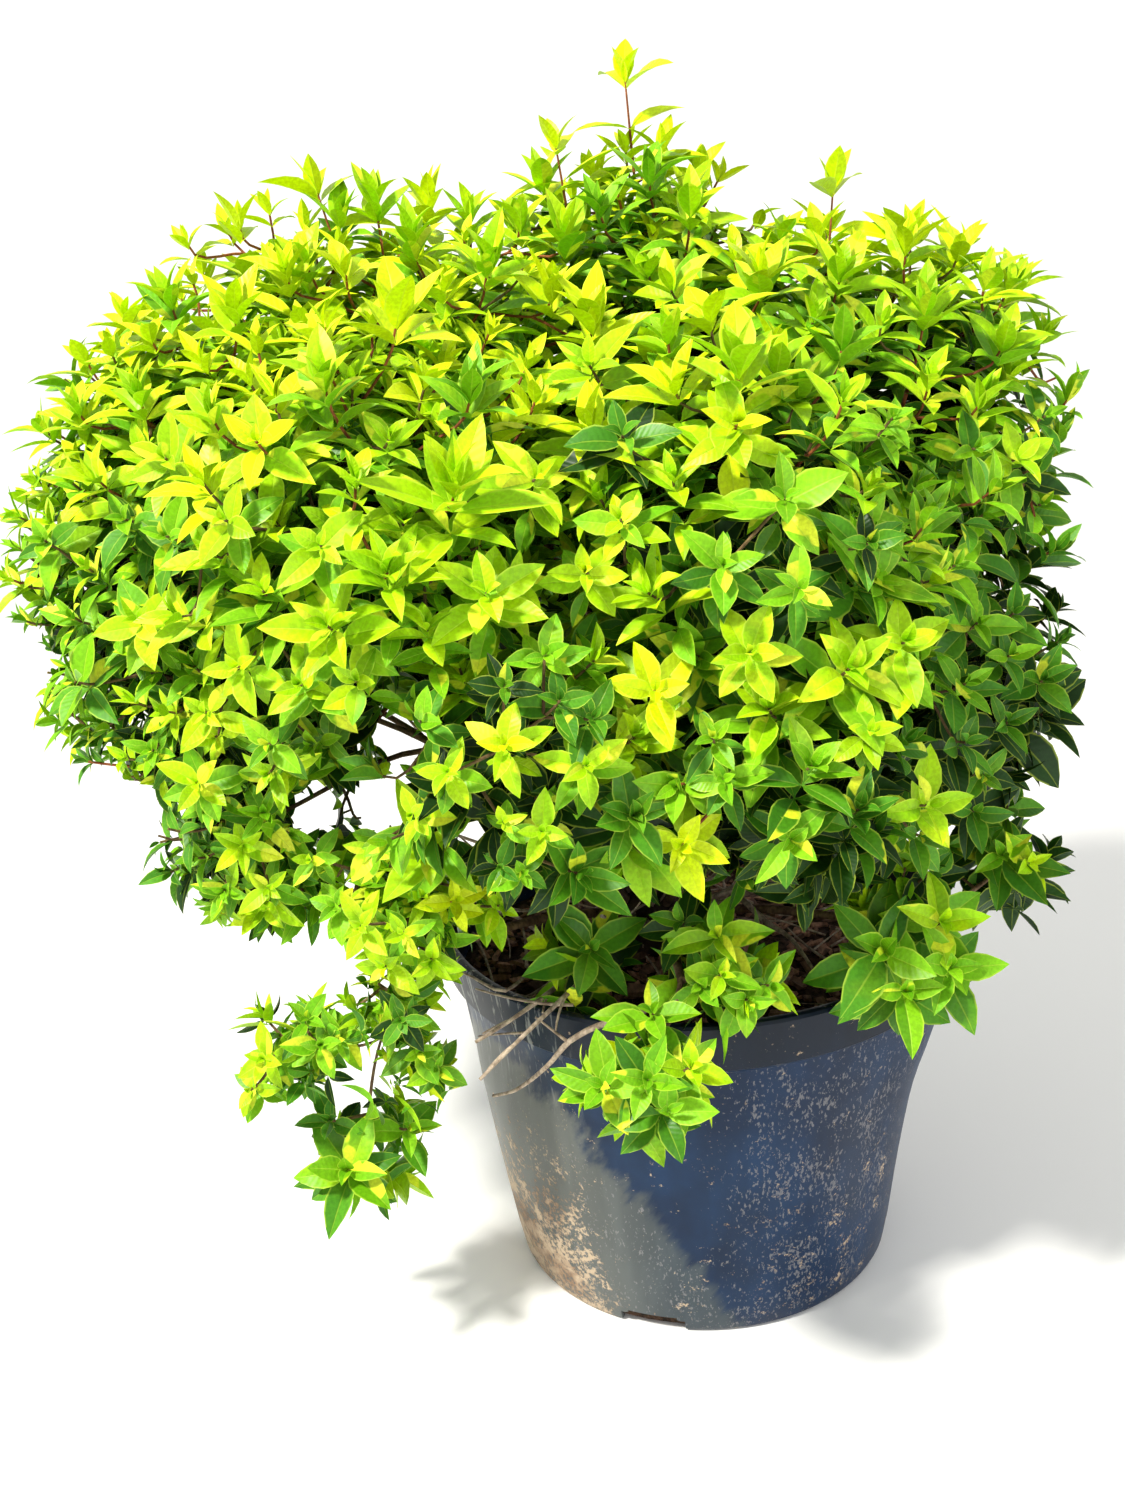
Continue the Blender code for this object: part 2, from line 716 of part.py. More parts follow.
class Mass:
    """Grows one mass of foliage and gathers its pieces for fusing."""

    def __init__(self, name, balls, stem, limbs, attempt):
        self.name = name
        self.space = Space(name, balls)
        self.stem = stem
        self.limbs = [limb for limb in limbs if limb is not stem]
        self.dice = random.Random(f"{SEED} {name} {attempt}")
        self.leaf_length = min(max(self.space.radius * LEAF_SHARE, LEAF_SHORTEST), LEAF_LONGEST)
        self.nodes = [(point, 0.0) for point in stem.points if self.space.holds(point)]
        self.nodes = self.nodes or [(stem.points[-1], 0.0)]
        self.pieces = []

    def fits(self, place, spike=False):
        inside = self.space.free(place) if spike else self.space.holds(place)
        return inside and clear_of_pot(place) and not in_sky_gap(place)

    def grow_leaf(self, root, way, face, length, spike=False):
        way = way.normalized()
        for share in LEAF_TRIES:
            start = root - way * LEAF_SUNK
            corners = leaf_corners(start, way, face, length * share)
            tests = (corners[1], *corners[2], (corners[1] + root) * 0.5, corners[1].lerp(corners[2][0], 0.5),
                     corners[1].lerp(corners[2][1], 0.5), corners[0].lerp(corners[2][0], 0.5))
            if not all(self.fits(place, spike) for place in tests):
                continue
            if near_limb(*corners, self.limbs):
                continue
            self.pieces.append(leaf_piece(start, way, face, length * share))
            return True
        return False

    def grow_whorl(self, place, way, side, rule, length, turn=0.0, spike=False):
        grown = 0
        for index in range(WHORL):
            angle = turn + 2 * math.pi * index / WHORL + self.dice.uniform(-LEAF_TURN, LEAF_TURN)
            tilt = math.radians(rule["tilt"] + self.dice.uniform(-LEAF_NOD, LEAF_NOD))
            out = Matrix.Rotation(angle, 3, way) @ side
            leaf_way = way * math.cos(tilt) + out * math.sin(tilt)
            reach = length * rule["length"] * self.dice.uniform(*LEAF_LENGTHS)
            grown += self.grow_leaf(place, leaf_way, way, reach, spike)
        return grown

    def grow_rosette(self, place, way, side, length, spike=False):
        """Two whorls at a twig's end, the outer one in the gaps of the inner one."""
        below = place - way * WHORL_STEP
        outer = self.grow_whorl(below, way, side, OUTER_WHORL, length, math.pi / WHORL, spike)
        return outer + self.grow_whorl(place, way, side, INNER_WHORL, length, 0.0, spike)

    def grow_shoot(self, place, length):
        parent, run = min(self.nodes, key=lambda node: (node[0] - place).length + node[1] * TWIG_THRIFT)
        if not self.space.holds(place, SPACE_MARGIN + TWIG_TIP_RADIUS) or not self.fits(place):
            return
        if line_near_limb(parent, place, TWIG_TIP_RADIUS, self.limbs):
            return
        span = (place - parent).length
        way = (place - parent).normalized()
        side = Matrix.Rotation(self.dice.uniform(0, 2 * math.pi), 3, way) @ way.orthogonal().normalized()
        if self.grow_rosette(place, way, side, length):
            twig = twig_piece(parent, place + way * TWIG_TIP_RADIUS, TWIG_BASE_RADIUS, TWIG_TIP_RADIUS, side)
            self.pieces.append(twig)
            for share in TWIG_FORKS:
                self.nodes.append((parent.lerp(place, share), run + span * share))

    def grow_spike(self, foot, tip):
        foot, tip = Vector(foot), Vector(tip)
        parent, _ = min(self.nodes, key=lambda node: (node[0] - foot).length)
        way = (tip - foot).normalized()
        side = way.orthogonal().normalized()
        start = foot - way * TWIG_BASE_RADIUS * 2
        self.pieces.append(twig_piece(parent, foot, TWIG_BASE_RADIUS, TWIG_BASE_RADIUS, side))
        self.pieces.append(twig_piece(start, tip, TWIG_BASE_RADIUS * 1.1, TWIG_TIP_RADIUS, side))
        for share, rule, length in SPIKE_WHORLS:
            self.grow_whorl(foot.lerp(tip, share), way, side, rule, length, spike=True)

    def grow(self):
        space = self.space
        length = self.leaf_length
        slope = math.radians(OUTER_WHORL["tilt"])
        beyond = max(space.radius ** 2 - (length * math.sin(slope)) ** 2, 0.0)
        depth = max(math.sqrt(beyond) - length * math.cos(slope), space.radius * LEAST_DEPTH)
        around = 4 * math.pi * (depth + length * LEAF_WIDEST) ** 2
        count = max(round(around / (length * SHOOT_SPACING) ** 2), LEAST_SHOOTS)
        for aim in even_directions(count, self.dice):
            scatter = Vector([self.dice.uniform(-AIM_SCATTER, AIM_SCATTER) for _ in range(3)])
            aim = (aim + scatter).normalized()
            place = space.centre + aim * depth * self.dice.uniform(*DEPTH_SCATTER)
            if not space.buried(space.centre + aim * space.radius):
                self.grow_shoot(place, length)
        if self.name in SPIKES:
            self.grow_spike(*SPIKES[self.name])

    def fuse(self, collection, look):
        """Joins the stem, the twigs and the leaves in one union. Gives False where it isn't clean."""
        pool = new_collection(f"{self.name}_pieces")
        for index, work in enumerate(self.pieces):
            mesh_object(f"{self.name}_piece_{index}", work, pool)
        curve = curve_object(f"{self.name}_stem", self.stem, 0, collection)
        stem_mesh = finished_mesh(curve)
        bpy.data.objects.remove(curve, do_unlink=True)
        weld(stem_mesh, WELD)
        body = bpy.data.objects.new(self.name, stem_mesh)
        collection.objects.link(body)
        union = body.modifiers.new("Fuse", "BOOLEAN")
        union.operation = "UNION"
        union.operand_type = "COLLECTION"
        union.collection = pool
        fused = None
        for cut in ("BEAUTY", "EAR_CLIP"):
            fused = fused or clean_shell(finished_mesh(body), cut)
        body.modifiers.clear()
        for item in list(pool.objects):
            bpy.data.objects.remove(item, do_unlink=True)
        bpy.data.collections.remove(pool)
        if fused is None:
            bpy.data.objects.remove(body, do_unlink=True)
            return False
        body.data = fused
        fused.materials.clear()
        fused.materials.append(look)
        return True


def shells_of(work):
    unseen = set(work.faces)
    shells = []
    while unseen:
        front = [unseen.pop()]
        shell = list(front)
        while front:
            for edge in front.pop().edges:
                for other in edge.link_faces:
                    if other in unseen:
                        unseen.remove(other)
                        shell.append(other)
                        front.append(other)
        shells.append(shell)
    return sorted(shells, key=len)


def clean_shell(mesh, cut):
    """Drops loose scraps, fills hollows that fusing sealed and makes triangles.

    Gives None where the shell isn't closed, or would touch itself if near corners were welded.
    """
    work = bmesh.new()
    work.from_mesh(mesh)
    spare = [face for shell in shells_of(work)[:-1] for face in shell]
    bmesh.ops.delete(work, geom=spare, context="FACES")
    loose = [corner for corner in work.verts if not corner.link_faces]
    bmesh.ops.delete(work, geom=loose, context="VERTS")
    bmesh.ops.triangulate(work, faces=work.faces, ngon_method=cut)
    work.to_mesh(mesh)
    closed = is_closed(work)
    bmesh.ops.remove_doubles(work, verts=work.verts, dist=NEAR_CORNERS)
    closed = closed and is_closed(work)
    work.free()
    return mesh if closed else None


def is_closed(work):
    return all(len(edge.link_faces) == 2 for edge in work.edges)


def leaf_colour(centre):
    """Yellow in the sun, at the top and on the left, and green on the right and low down."""
    sun = (centre.z - SHADE_HEIGHT) / (SUN_HEIGHT - SHADE_HEIGHT) - centre.x / SUN_SIDE
    sun = min(max(sun, 0.0), 1.0)
    return [green + (yellow - green) * sun for green, yellow in zip(LEAF_GREEN, LEAF_YELLOW)]


def main():
    clear_scene()
    plant = new_collection("potted_abelia")
    cutters = new_collection("cutters")
    bark = material("bark", (0.32, 0.22, 0.14), 0.85)
    twig_bark = material("shoot_bark", (0.42, 0.30, 0.19), 0.8)
    make_pot(plant, cutters, material("pot_plastic", (0.045, 0.055, 0.085), 0.5))
    make_mulch(plant, material("mulch", (0.08, 0.05, 0.035), 0.95))
    make_foot(plant, bark)
    balls = crown_balls()
    boughs = plan_boughs()
    stems = plan_stems(balls, boughs)
    for name, limb in boughs.items():
        item = curve_object(name, limb, BOUGH_SIDES_RESOLUTION, plant)
        item.data.materials.append(bark if limb.radii[0] >= MAIN_BASE_RADIUS else twig_bark)
    limbs = list(boughs.values()) + list(stems.values())
    for name, (centre, _) in balls.items():
        look = material(f"{name}_leaves", leaf_colour(centre), 0.45)
        for attempt in range(ATTEMPTS):
            mass = Mass(name, balls, stems[name], limbs, attempt)
            mass.grow()
            if mass.fuse(plant, look):
                break


main()
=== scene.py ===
"""The looks of a glossy abelia in a nursery pot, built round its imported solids, in metres, +Z up.

The crown follows the rules of the solids: the same balls, boughs and stems, written again here and carried to
finer twigs. Every twig ends in a shoot with whorls of folded, pointed leaves. The pot, the mulch and the bark
are built as meshes of their own over the solids that they replace.
"""

import math
import random

import bmesh
import bpy
import numpy as np
from mathutils import Matrix, Vector, noise


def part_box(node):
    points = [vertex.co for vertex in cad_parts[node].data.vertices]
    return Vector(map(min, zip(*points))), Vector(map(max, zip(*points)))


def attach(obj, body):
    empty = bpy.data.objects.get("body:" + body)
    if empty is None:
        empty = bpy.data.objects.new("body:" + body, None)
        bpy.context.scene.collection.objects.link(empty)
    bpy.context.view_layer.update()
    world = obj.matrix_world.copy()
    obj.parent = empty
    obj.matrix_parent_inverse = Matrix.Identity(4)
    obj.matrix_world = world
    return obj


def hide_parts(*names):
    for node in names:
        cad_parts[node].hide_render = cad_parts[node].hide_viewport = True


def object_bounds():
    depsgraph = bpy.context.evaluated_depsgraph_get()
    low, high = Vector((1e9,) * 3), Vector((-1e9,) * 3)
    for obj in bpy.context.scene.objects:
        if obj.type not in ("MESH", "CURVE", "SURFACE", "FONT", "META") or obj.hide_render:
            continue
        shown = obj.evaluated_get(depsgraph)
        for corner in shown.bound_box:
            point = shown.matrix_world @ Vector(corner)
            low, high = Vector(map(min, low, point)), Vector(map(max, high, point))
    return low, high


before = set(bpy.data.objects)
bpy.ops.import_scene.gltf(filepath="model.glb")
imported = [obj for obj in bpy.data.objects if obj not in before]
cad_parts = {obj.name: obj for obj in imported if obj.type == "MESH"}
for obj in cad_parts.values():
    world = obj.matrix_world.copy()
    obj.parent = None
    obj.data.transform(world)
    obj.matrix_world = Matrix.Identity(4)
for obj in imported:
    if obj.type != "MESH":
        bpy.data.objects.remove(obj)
cad_low, cad_high = [list(corner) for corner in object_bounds()]

SEED = 11

# Camera, fitted to the photograph
PHOTO_WIDTH, PHOTO_HEIGHT = 1125, 1500
FOCAL_PIXELS = 1700
SENSOR = 36.0
CAMERA_PLACE = (-0.085, -1.108, 0.774)
CAMERA_PITCH = math.radians(19.4)
CAMERA_ROLL = math.radians(3.5)
# Cosines and sines of the two, rounded, for the lines of sight
PITCH_COSINE, PITCH_SINE = 0.9432, 0.3322
ROLL_COSINE, ROLL_SINE = 0.99813, 0.06105


def make_camera():
    """The camera that took the photograph."""
    pitch, roll = CAMERA_PITCH, CAMERA_ROLL
    data = bpy.data.cameras.new("photo_camera")
    data.sensor_width = SENSOR
    data.lens = SENSOR * FOCAL_PIXELS / max(PHOTO_WIDTH, PHOTO_HEIGHT)
    data.clip_start = 0.05
    camera = bpy.data.objects.new("photo_camera", data)
    right = Vector((math.cos(roll), -math.sin(pitch) * math.sin(roll), -math.cos(pitch) * math.sin(roll)))
    up = Vector((math.sin(roll), math.sin(pitch) * math.cos(roll), math.cos(pitch) * math.cos(roll)))
    back = right.cross(up)
    camera.matrix_world = Matrix((right, up, back)).transposed().to_4x4()
    camera.location = CAMERA_PLACE
    bpy.context.scene.collection.objects.link(camera)
    bpy.context.scene.camera = camera


make_camera()

# Pot
RIM_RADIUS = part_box("pot")[1].x
POT_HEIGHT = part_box("pot")[1].z
BAND_HEIGHT = 0.034
WALL_RADIUS_TOP = 0.171
BASE_RADIUS = 0.137
WALL = 0.003
WALL_FOOT = 0.008                # the wall is straight from here up to the band
WALL_STEPS = 13
FLOOR = 0.004
RIM_INNER_RADIUS = 0.172
RIM_EDGE = 0.0025                # the rim's outer corner is rounded within this
BAND_DRAFT = 0.0015              # the band narrows this much downwards
BAND_STEP = 0.0045               # height of the slope under the band
LIP_DEPTH = 0.010
POT_STEPS = 180
DRAIN_ANGLES = [math.radians(250 + 120 * index) for index in range(3)]
DRAIN_WIDTH = 0.046
DRAIN_HEIGHT = 0.012
DRAIN_DEPTH = 0.030
# Dents of its wall: depth, direction and spread in degrees, height and reach as shares of the pot's height
DENTS = ((-0.0068, -152, 26, 0.78, 0.15), (0.0085, -22, 24, 0.76, 0.16))
WAVES = 0.0016

# Mulch
MULCH_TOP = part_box("mulch")[1].z
MULCH_EDGE = 0.226
MULCH_FLAT_RADIUS = 0.050
MULCH_SHOULDER = 0.140
SOIL_RINGS = 34
SOIL_STEPS = 96
SOIL_SINK = 0.005                # of the potting mix under the top of the solid, with chips on it
SOIL_CRUMBS = 0.0035
SOIL_HEIGHTS = (0.20, 0.16, 0.12, 0.08, 0.04, 0.0045)
CHIPS = 900
CHIP_REACH = 0.94                # of the soil's own radius
CHIP_SIZES = ((0.006, 0.019), (0.003, 0.008), (0.0012, 0.0034))
CHIP_WEAR = (0.62, 1.12)         # of each corner against the others
CHIP_SINKS = (0.0005, 0.0045)
BIG_CHIP = 1.6
BIG_CHIP_SHARE = 0.14

# Foot of the stems
FOOT_LOW, FOOT_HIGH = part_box("foot")
FOOT_RADIUS = (FOOT_HIGH.x - FOOT_LOW.x) / 2
FOOT_CENTRE = Vector((
    (FOOT_LOW.x + FOOT_HIGH.x) / 2, (FOOT_LOW.y + FOOT_HIGH.y) / 2, FOOT_HIGH.z - FOOT_RADIUS))

# Limbs
MAIN_RADII = (0.0048, 0.0036)
SHOOT_RADII = (0.0034, 0.0028)
BARE_RADII = (0.0028, 0.0012)
STEM_TIP_RADIUS = 0.0014
LIMB_SIDES = 10
LIMB_ROOT = 0.9                  # of the foot's radius, where limbs start in it
BOUGH_POINTS = 14
BOUGH_BENDS = (0.40, 0.34)       # reach of a bough's first and last heading, as shares of its span
STEM_POINTS = 9
STEM_BENDS = (0.30, 0.28)
STEM_OVERLAP = 0.002
STEM_AIM = 0.9                   # how far a stem leans towards its ball where it leaves its bough
FORK_RADII = (0.95, 0.62)        # of the bough's tip: of a lone stem, and of each stem of a fork

# Crown, as balls
SKIRT = {
    "count": 8, "start": 31, "x": -0.070, "z": 0.452,
    "rx": 0.240, "ry": 0.190, "ball": 0.092, "tilt": -0.030,
}
SHOULDER = {
    "count": 6, "start": 0, "x": -0.085, "z": 0.572,
    "rx": 0.215, "ry": 0.155, "ball": 0.116, "tilt": -0.015,
}
SINGLE_BALLS = {
    "top_left": (-0.145, 0.020, 0.618, 0.115),
    "top_right": (0.035, 0.030, 0.610, 0.115),
    "top_back": (-0.008, 0.095, 0.692, 0.090),
    "high_left": (-0.245, 0.060, 0.652, 0.080),
    "high_right": (0.165, 0.040, 0.635, 0.076),
    "out_left": (-0.340, -0.040, 0.515, 0.095),
    "low_left": (-0.278, -0.095, 0.382, 0.074),
    "low_front_left": (-0.182, -0.150, 0.352, 0.062),
    "trail_top": (-0.200, -0.155, 0.284, 0.044),
    "trail_side": (-0.268, -0.145, 0.244, 0.046),
    "trail_inner": (-0.188, -0.148, 0.226, 0.040),
    "trail_tip": (-0.234, -0.120, 0.148, 0.056),
    "rim_front": (-0.051, -0.238, 0.254, 0.054),
    "rim_middle": (0.007, -0.165, 0.298, 0.048),
    "rim_left": (-0.080, -0.120, 0.283, 0.040),
    "rim_right": (0.117, -0.150, 0.292, 0.058),
    "low_right": (0.212, -0.055, 0.302, 0.050),
}
RING_REACH = 0.46
RING_TIP_Z = 0.405
RING_LIFTS = (44, 62)
RING_ARRIVAL = 55
SINGLE_BOUGHS = {                # turns and lifts in degrees, where they leave the foot and arrive
    "bough_top": {"tip": (-0.055, 0.030, 0.455), "leave": (90, 86), "arrive": (90, 80), "radii": MAIN_RADII},
    "bough_trail_upper": {"tip": (-0.180, -0.128, 0.297), "leave": (221, 24), "arrive": (222, 5)},
    "bough_front": {"tip": (-0.022, -0.192, 0.300), "leave": (274, 26), "arrive": (272, 0)},
    "bough_rim_right": {"tip": (0.128, -0.112, 0.288), "leave": (322, 20), "arrive": (318, 6)},
    "bough_rim_left": {"tip": (-0.070, -0.090, 0.272), "leave": (245, 18), "arrive": (250, 30)},
    "bare_shoot_1": {
        "tip": (-0.150, -0.172, 0.256), "leave": (236, 3), "arrive": (200, -20), "radii": BARE_RADII},
    "bare_shoot_2": {
        "tip": (-0.148, -0.190, 0.240), "leave": (262, 20), "arrive": (192, -42), "radii": BARE_RADII},
}
BARE_SHOOTS = ("bare_shoot_1", "bare_shoot_2")
BARE_FORKS = ((0.62, 20), (0.84, -24))   # where they fork, as a share of the way, and by how much
DRY_STEMS = 36
DRY_STEM_LIFTS = (8, 62)
DRY_STEM_LENGTHS = (0.09, 0.17)
DRY_STEM_RADII = (0.0013, 0.0024)
FALLEN_TWIGS = 70
FALLEN_REACH = 0.15
FALLEN_RISES = (0.0045, 0.009)
FALLEN_LIFTS = (-3, 16)
FALLEN_LENGTHS = (0.025, 0.070)
FALLEN_RADII = (0.0006, 0.0014)
TRAIL_FORK = (-0.213, -0.138, 0.243)
LYING_TWIGS = (                  # thickness at the start, and places along it
    (0.0024, (
        (-0.011, -0.111, 0.250), (-0.047, -0.170, 0.269), (-0.074, -0.172, 0.262), (-0.092, -0.164, 0.248),
        (-0.104, -0.156, 0.230), (-0.116, -0.134, 0.207), (-0.131, -0.118, 0.188), (-0.146, -0.099, 0.174))),
    (0.0012, (
        (-0.092, -0.164, 0.247), (-0.100, -0.159, 0.252), (-0.112, -0.152, 0.260))),
    (0.0013, (
        (-0.088, -0.150, 0.266), (-0.108, -0.147, 0.267), (-0.132, -0.133, 0.266), (-0.151, -0.112, 0.262))),
    (0.0015, (
        (-0.089, -0.065, 0.254), (-0.111, -0.085, 0.262), (-0.131, -0.131, 0.269), (-0.152, -0.108, 0.268),
        (-0.168, -0.086, 0.266))),
    (0.0010, (
        (-0.120, -0.142, 0.244), (-0.136, -0.127, 0.236), (-0.152, -0.110, 0.226))),
    (0.0018, (
        (-0.140, 0.030, 0.250), (-0.125, 0.003, 0.258), (-0.105, -0.045, 0.262), (-0.096, -0.075, 0.256))),
    (0.0017, (
        (-0.085, -0.060, 0.264), (-0.064, -0.064, 0.279), (-0.050, -0.062, 0.284), (-0.030, -0.050, 0.290))),
    (0.0024, (
        (0.030, -0.040, 0.284), (0.046, -0.067, 0.275), (0.060, -0.078, 0.268), (0.072, -0.098, 0.254))),
    (0.0014, (
        (-0.158, 0.010, 0.244), (-0.149, -0.028, 0.246), (-0.140, -0.075, 0.240))),
    (0.0013, (
        (-0.165, -0.050, 0.246), (-0.135, -0.085, 0.246), (-0.100, -0.105, 0.244), (-0.060, -0.125, 0.242))),
)
CARRIERS = {                     # the masses that a bough carries; each skirt has the bough of its number
    "bough_1": ("high_right",),
    "bough_2": ("shoulder_2",),
    "bough_3": ("shoulder_3",),
    "bough_4": ("shoulder_4", "high_left"),
    "bough_5": ("out_left", "low_left"),
    "bough_6": ("shoulder_5",),
    "bough_7": ("shoulder_6",),
    "bough_8": ("shoulder_1",),
    "bough_top": ("top_left", "top_right", "top_back"),
    "bough_trail_upper": ("low_front_left", "trail_top"),
    "bough_trail_lower": ("trail_side", "trail_inner", "trail_tip"),
    "bough_front": ("rim_front", "rim_middle"),
    "bough_rim_left": ("rim_left",),
    "bough_rim_right": ("rim_right", "low_right"),
}
SPIKES = (                       # young shoots over the crown: mass, foot and tip
    ("top_back", (-0.014, 0.085, 0.755), (-0.018, 0.080, 0.820)),
    ("top_back", (-0.060, 0.074, 0.735), (-0.066, 0.070, 0.782)),
    ("top_right", (0.108, 0.045, 0.690), (0.112, 0.045, 0.746)),
    ("high_left", (-0.210, 0.050, 0.712), (-0.222, 0.048, 0.762)),
)
SKY_GAPS = (                     # kept free of leaves along the line of sight: x and z at y = 0, and radius
    (-0.200, 0.404, 0.014), (-0.260, 0.357, 0.015), (-0.218, 0.360, 0.015), (-0.155, 0.341, 0.012),
    (-0.404, 0.360, 0.030), (-0.455, 0.470, 0.024), (0.053, 0.768, 0.020),
    (-0.428, 0.643, 0.018), (-0.401, 0.678, 0.016),
)
SKY_FALL = -0.33                 # how far the lines of sight fall for each metre away from the camera
SKY_FAN = -1 / CAMERA_PLACE[1]   # and how they spread from the camera's own x
SKY_MIDDLE = CAMERA_PLACE[0]

# Foliage
LEAF_LENGTH = 0.0385
LEAVES_A_PIECE = 7600            # of 26 triangles each, so a piece has under 200,000
LEAF_WIDTHS = (0.39, 0.52)       # of its length
NARROW_WIDTHS = (0.33, 0.45)     # high up and on the left
LEAF_STATIONS = (0.0, 0.06, 0.17, 0.32, 0.50, 0.68, 0.86)
LEAF_HALF_WIDTHS = (0.05, 0.15, 0.60, 0.92, 1.00, 0.82, 0.42)
CURL_GROWTH = 1.6
LEAF_CURLS = (4, 50)             # in degrees, at the tip
LEAF_FOLDS = (10, 30)
LEAF_TWIST = 9
TIP_SHARE = 0.95                 # where along a leaf its tip is tested
LENGTH_SCATTER = (0.76, 1.14)    # leaf lengths in one whorl
SHOOT_SIZES = (0.74, 1.20)       # leaf lengths on one shoot against another
SMALL_BALL = 0.066               # balls under this radius are sprays of their own
BLENDS = (0.030, 0.009)          # how far the crown's balls, and the small ones, run into each other
REACH_MARGINS = (0.012, 0.012)   # how far leaves may stand out of the crown, and of a small ball
SMALL_BALL_SINK = 0.003          # how much deeper the shoots of a small ball start
SMALL_BALL_SUN = 0.26            # and how much more sun they get
DENSE_SMALL_BALLS = ("low_front_left",)
OPEN_BELOW = ("rim_front", "trail_inner", "low_right")
LEAF_SIZES = {                   # leaves of some masses against the rest
    "out_left": 0.74, "skirt_5": 0.73, "low_left": 0.68, "low_front_left": 0.64, "trail_top": 0.64,
    "trail_side": 0.64, "trail_inner": 0.64, "top_back": 0.84, "top_left": 0.88, "high_left": 0.80,
    "shoulder_4": 0.84, "shoulder_5": 0.90, "skirt_4": 0.80,
}
GAP_MARGIN = 0.001               # how far leaves keep from the gaps where the sky shows
BOX_MARGIN = 0.004               # how far they may pass the box of the solids
CLEARANCE = 0.002
# Whorls of a shoot: back from its tip, leaves, tilt in degrees, leaf length as a share
SHOOT_WHORLS = (
    (0.000, 2, 14, 0.48), (0.003, 3, 33, 0.74), (0.009, 3, 54, 0.96),
    (0.019, 3, 68, 1.05), (0.032, 3, 80, 1.00), (0.046, 3, 92, 0.90),
)
LEADER_WHORLS = (
    (0.000, 2, 14, 0.52), (0.004, 3, 34, 0.84), (0.011, 2, 58, 1.05),
    (0.030, 3, 72, 1.12), (0.052, 3, 82, 1.02),
)
SPIKE_WHORLS = ((0.000, 3, 22, 0.78), (0.003, 2, 60, 1.15))
SPIKE_PAIRS = ((0.42, 2, 76, 1.35), (0.84, 2, 82, 1.35))   # further back, as shares of the spike
# Looks of the shoots that have a place of their own: how far their axis follows the crown's own way out, the
# front and the top, their leaf widths, and how much longer the leaves are than they look
STAR = {
    "out": 0.42, "front": 0.72, "up": 0.32, "widths": (0.42, 0.56), "stretch": 0.96,
    "whorls": (
        (0.000, 2, 20, 0.46), (0.003, 2, 48, 0.76), (0.008, 2, 66, 1.02),
        (0.016, 3, 77, 1.10), (0.034, 3, 92, 0.98),
    ),
}
FLAME = {
    "out": 0.40, "front": 0.15, "up": 0.95, "widths": (0.33, 0.43), "stretch": 1.14,
    "whorls": (
        (0.000, 3, 12, 0.72), (0.004, 4, 30, 1.00), (0.012, 4, 52, 1.06),
        (0.026, 3, 70, 1.06), (0.044, 3, 82, 1.00),
    ),
}
FRONT = Vector((0.0, -0.94, 0.34))
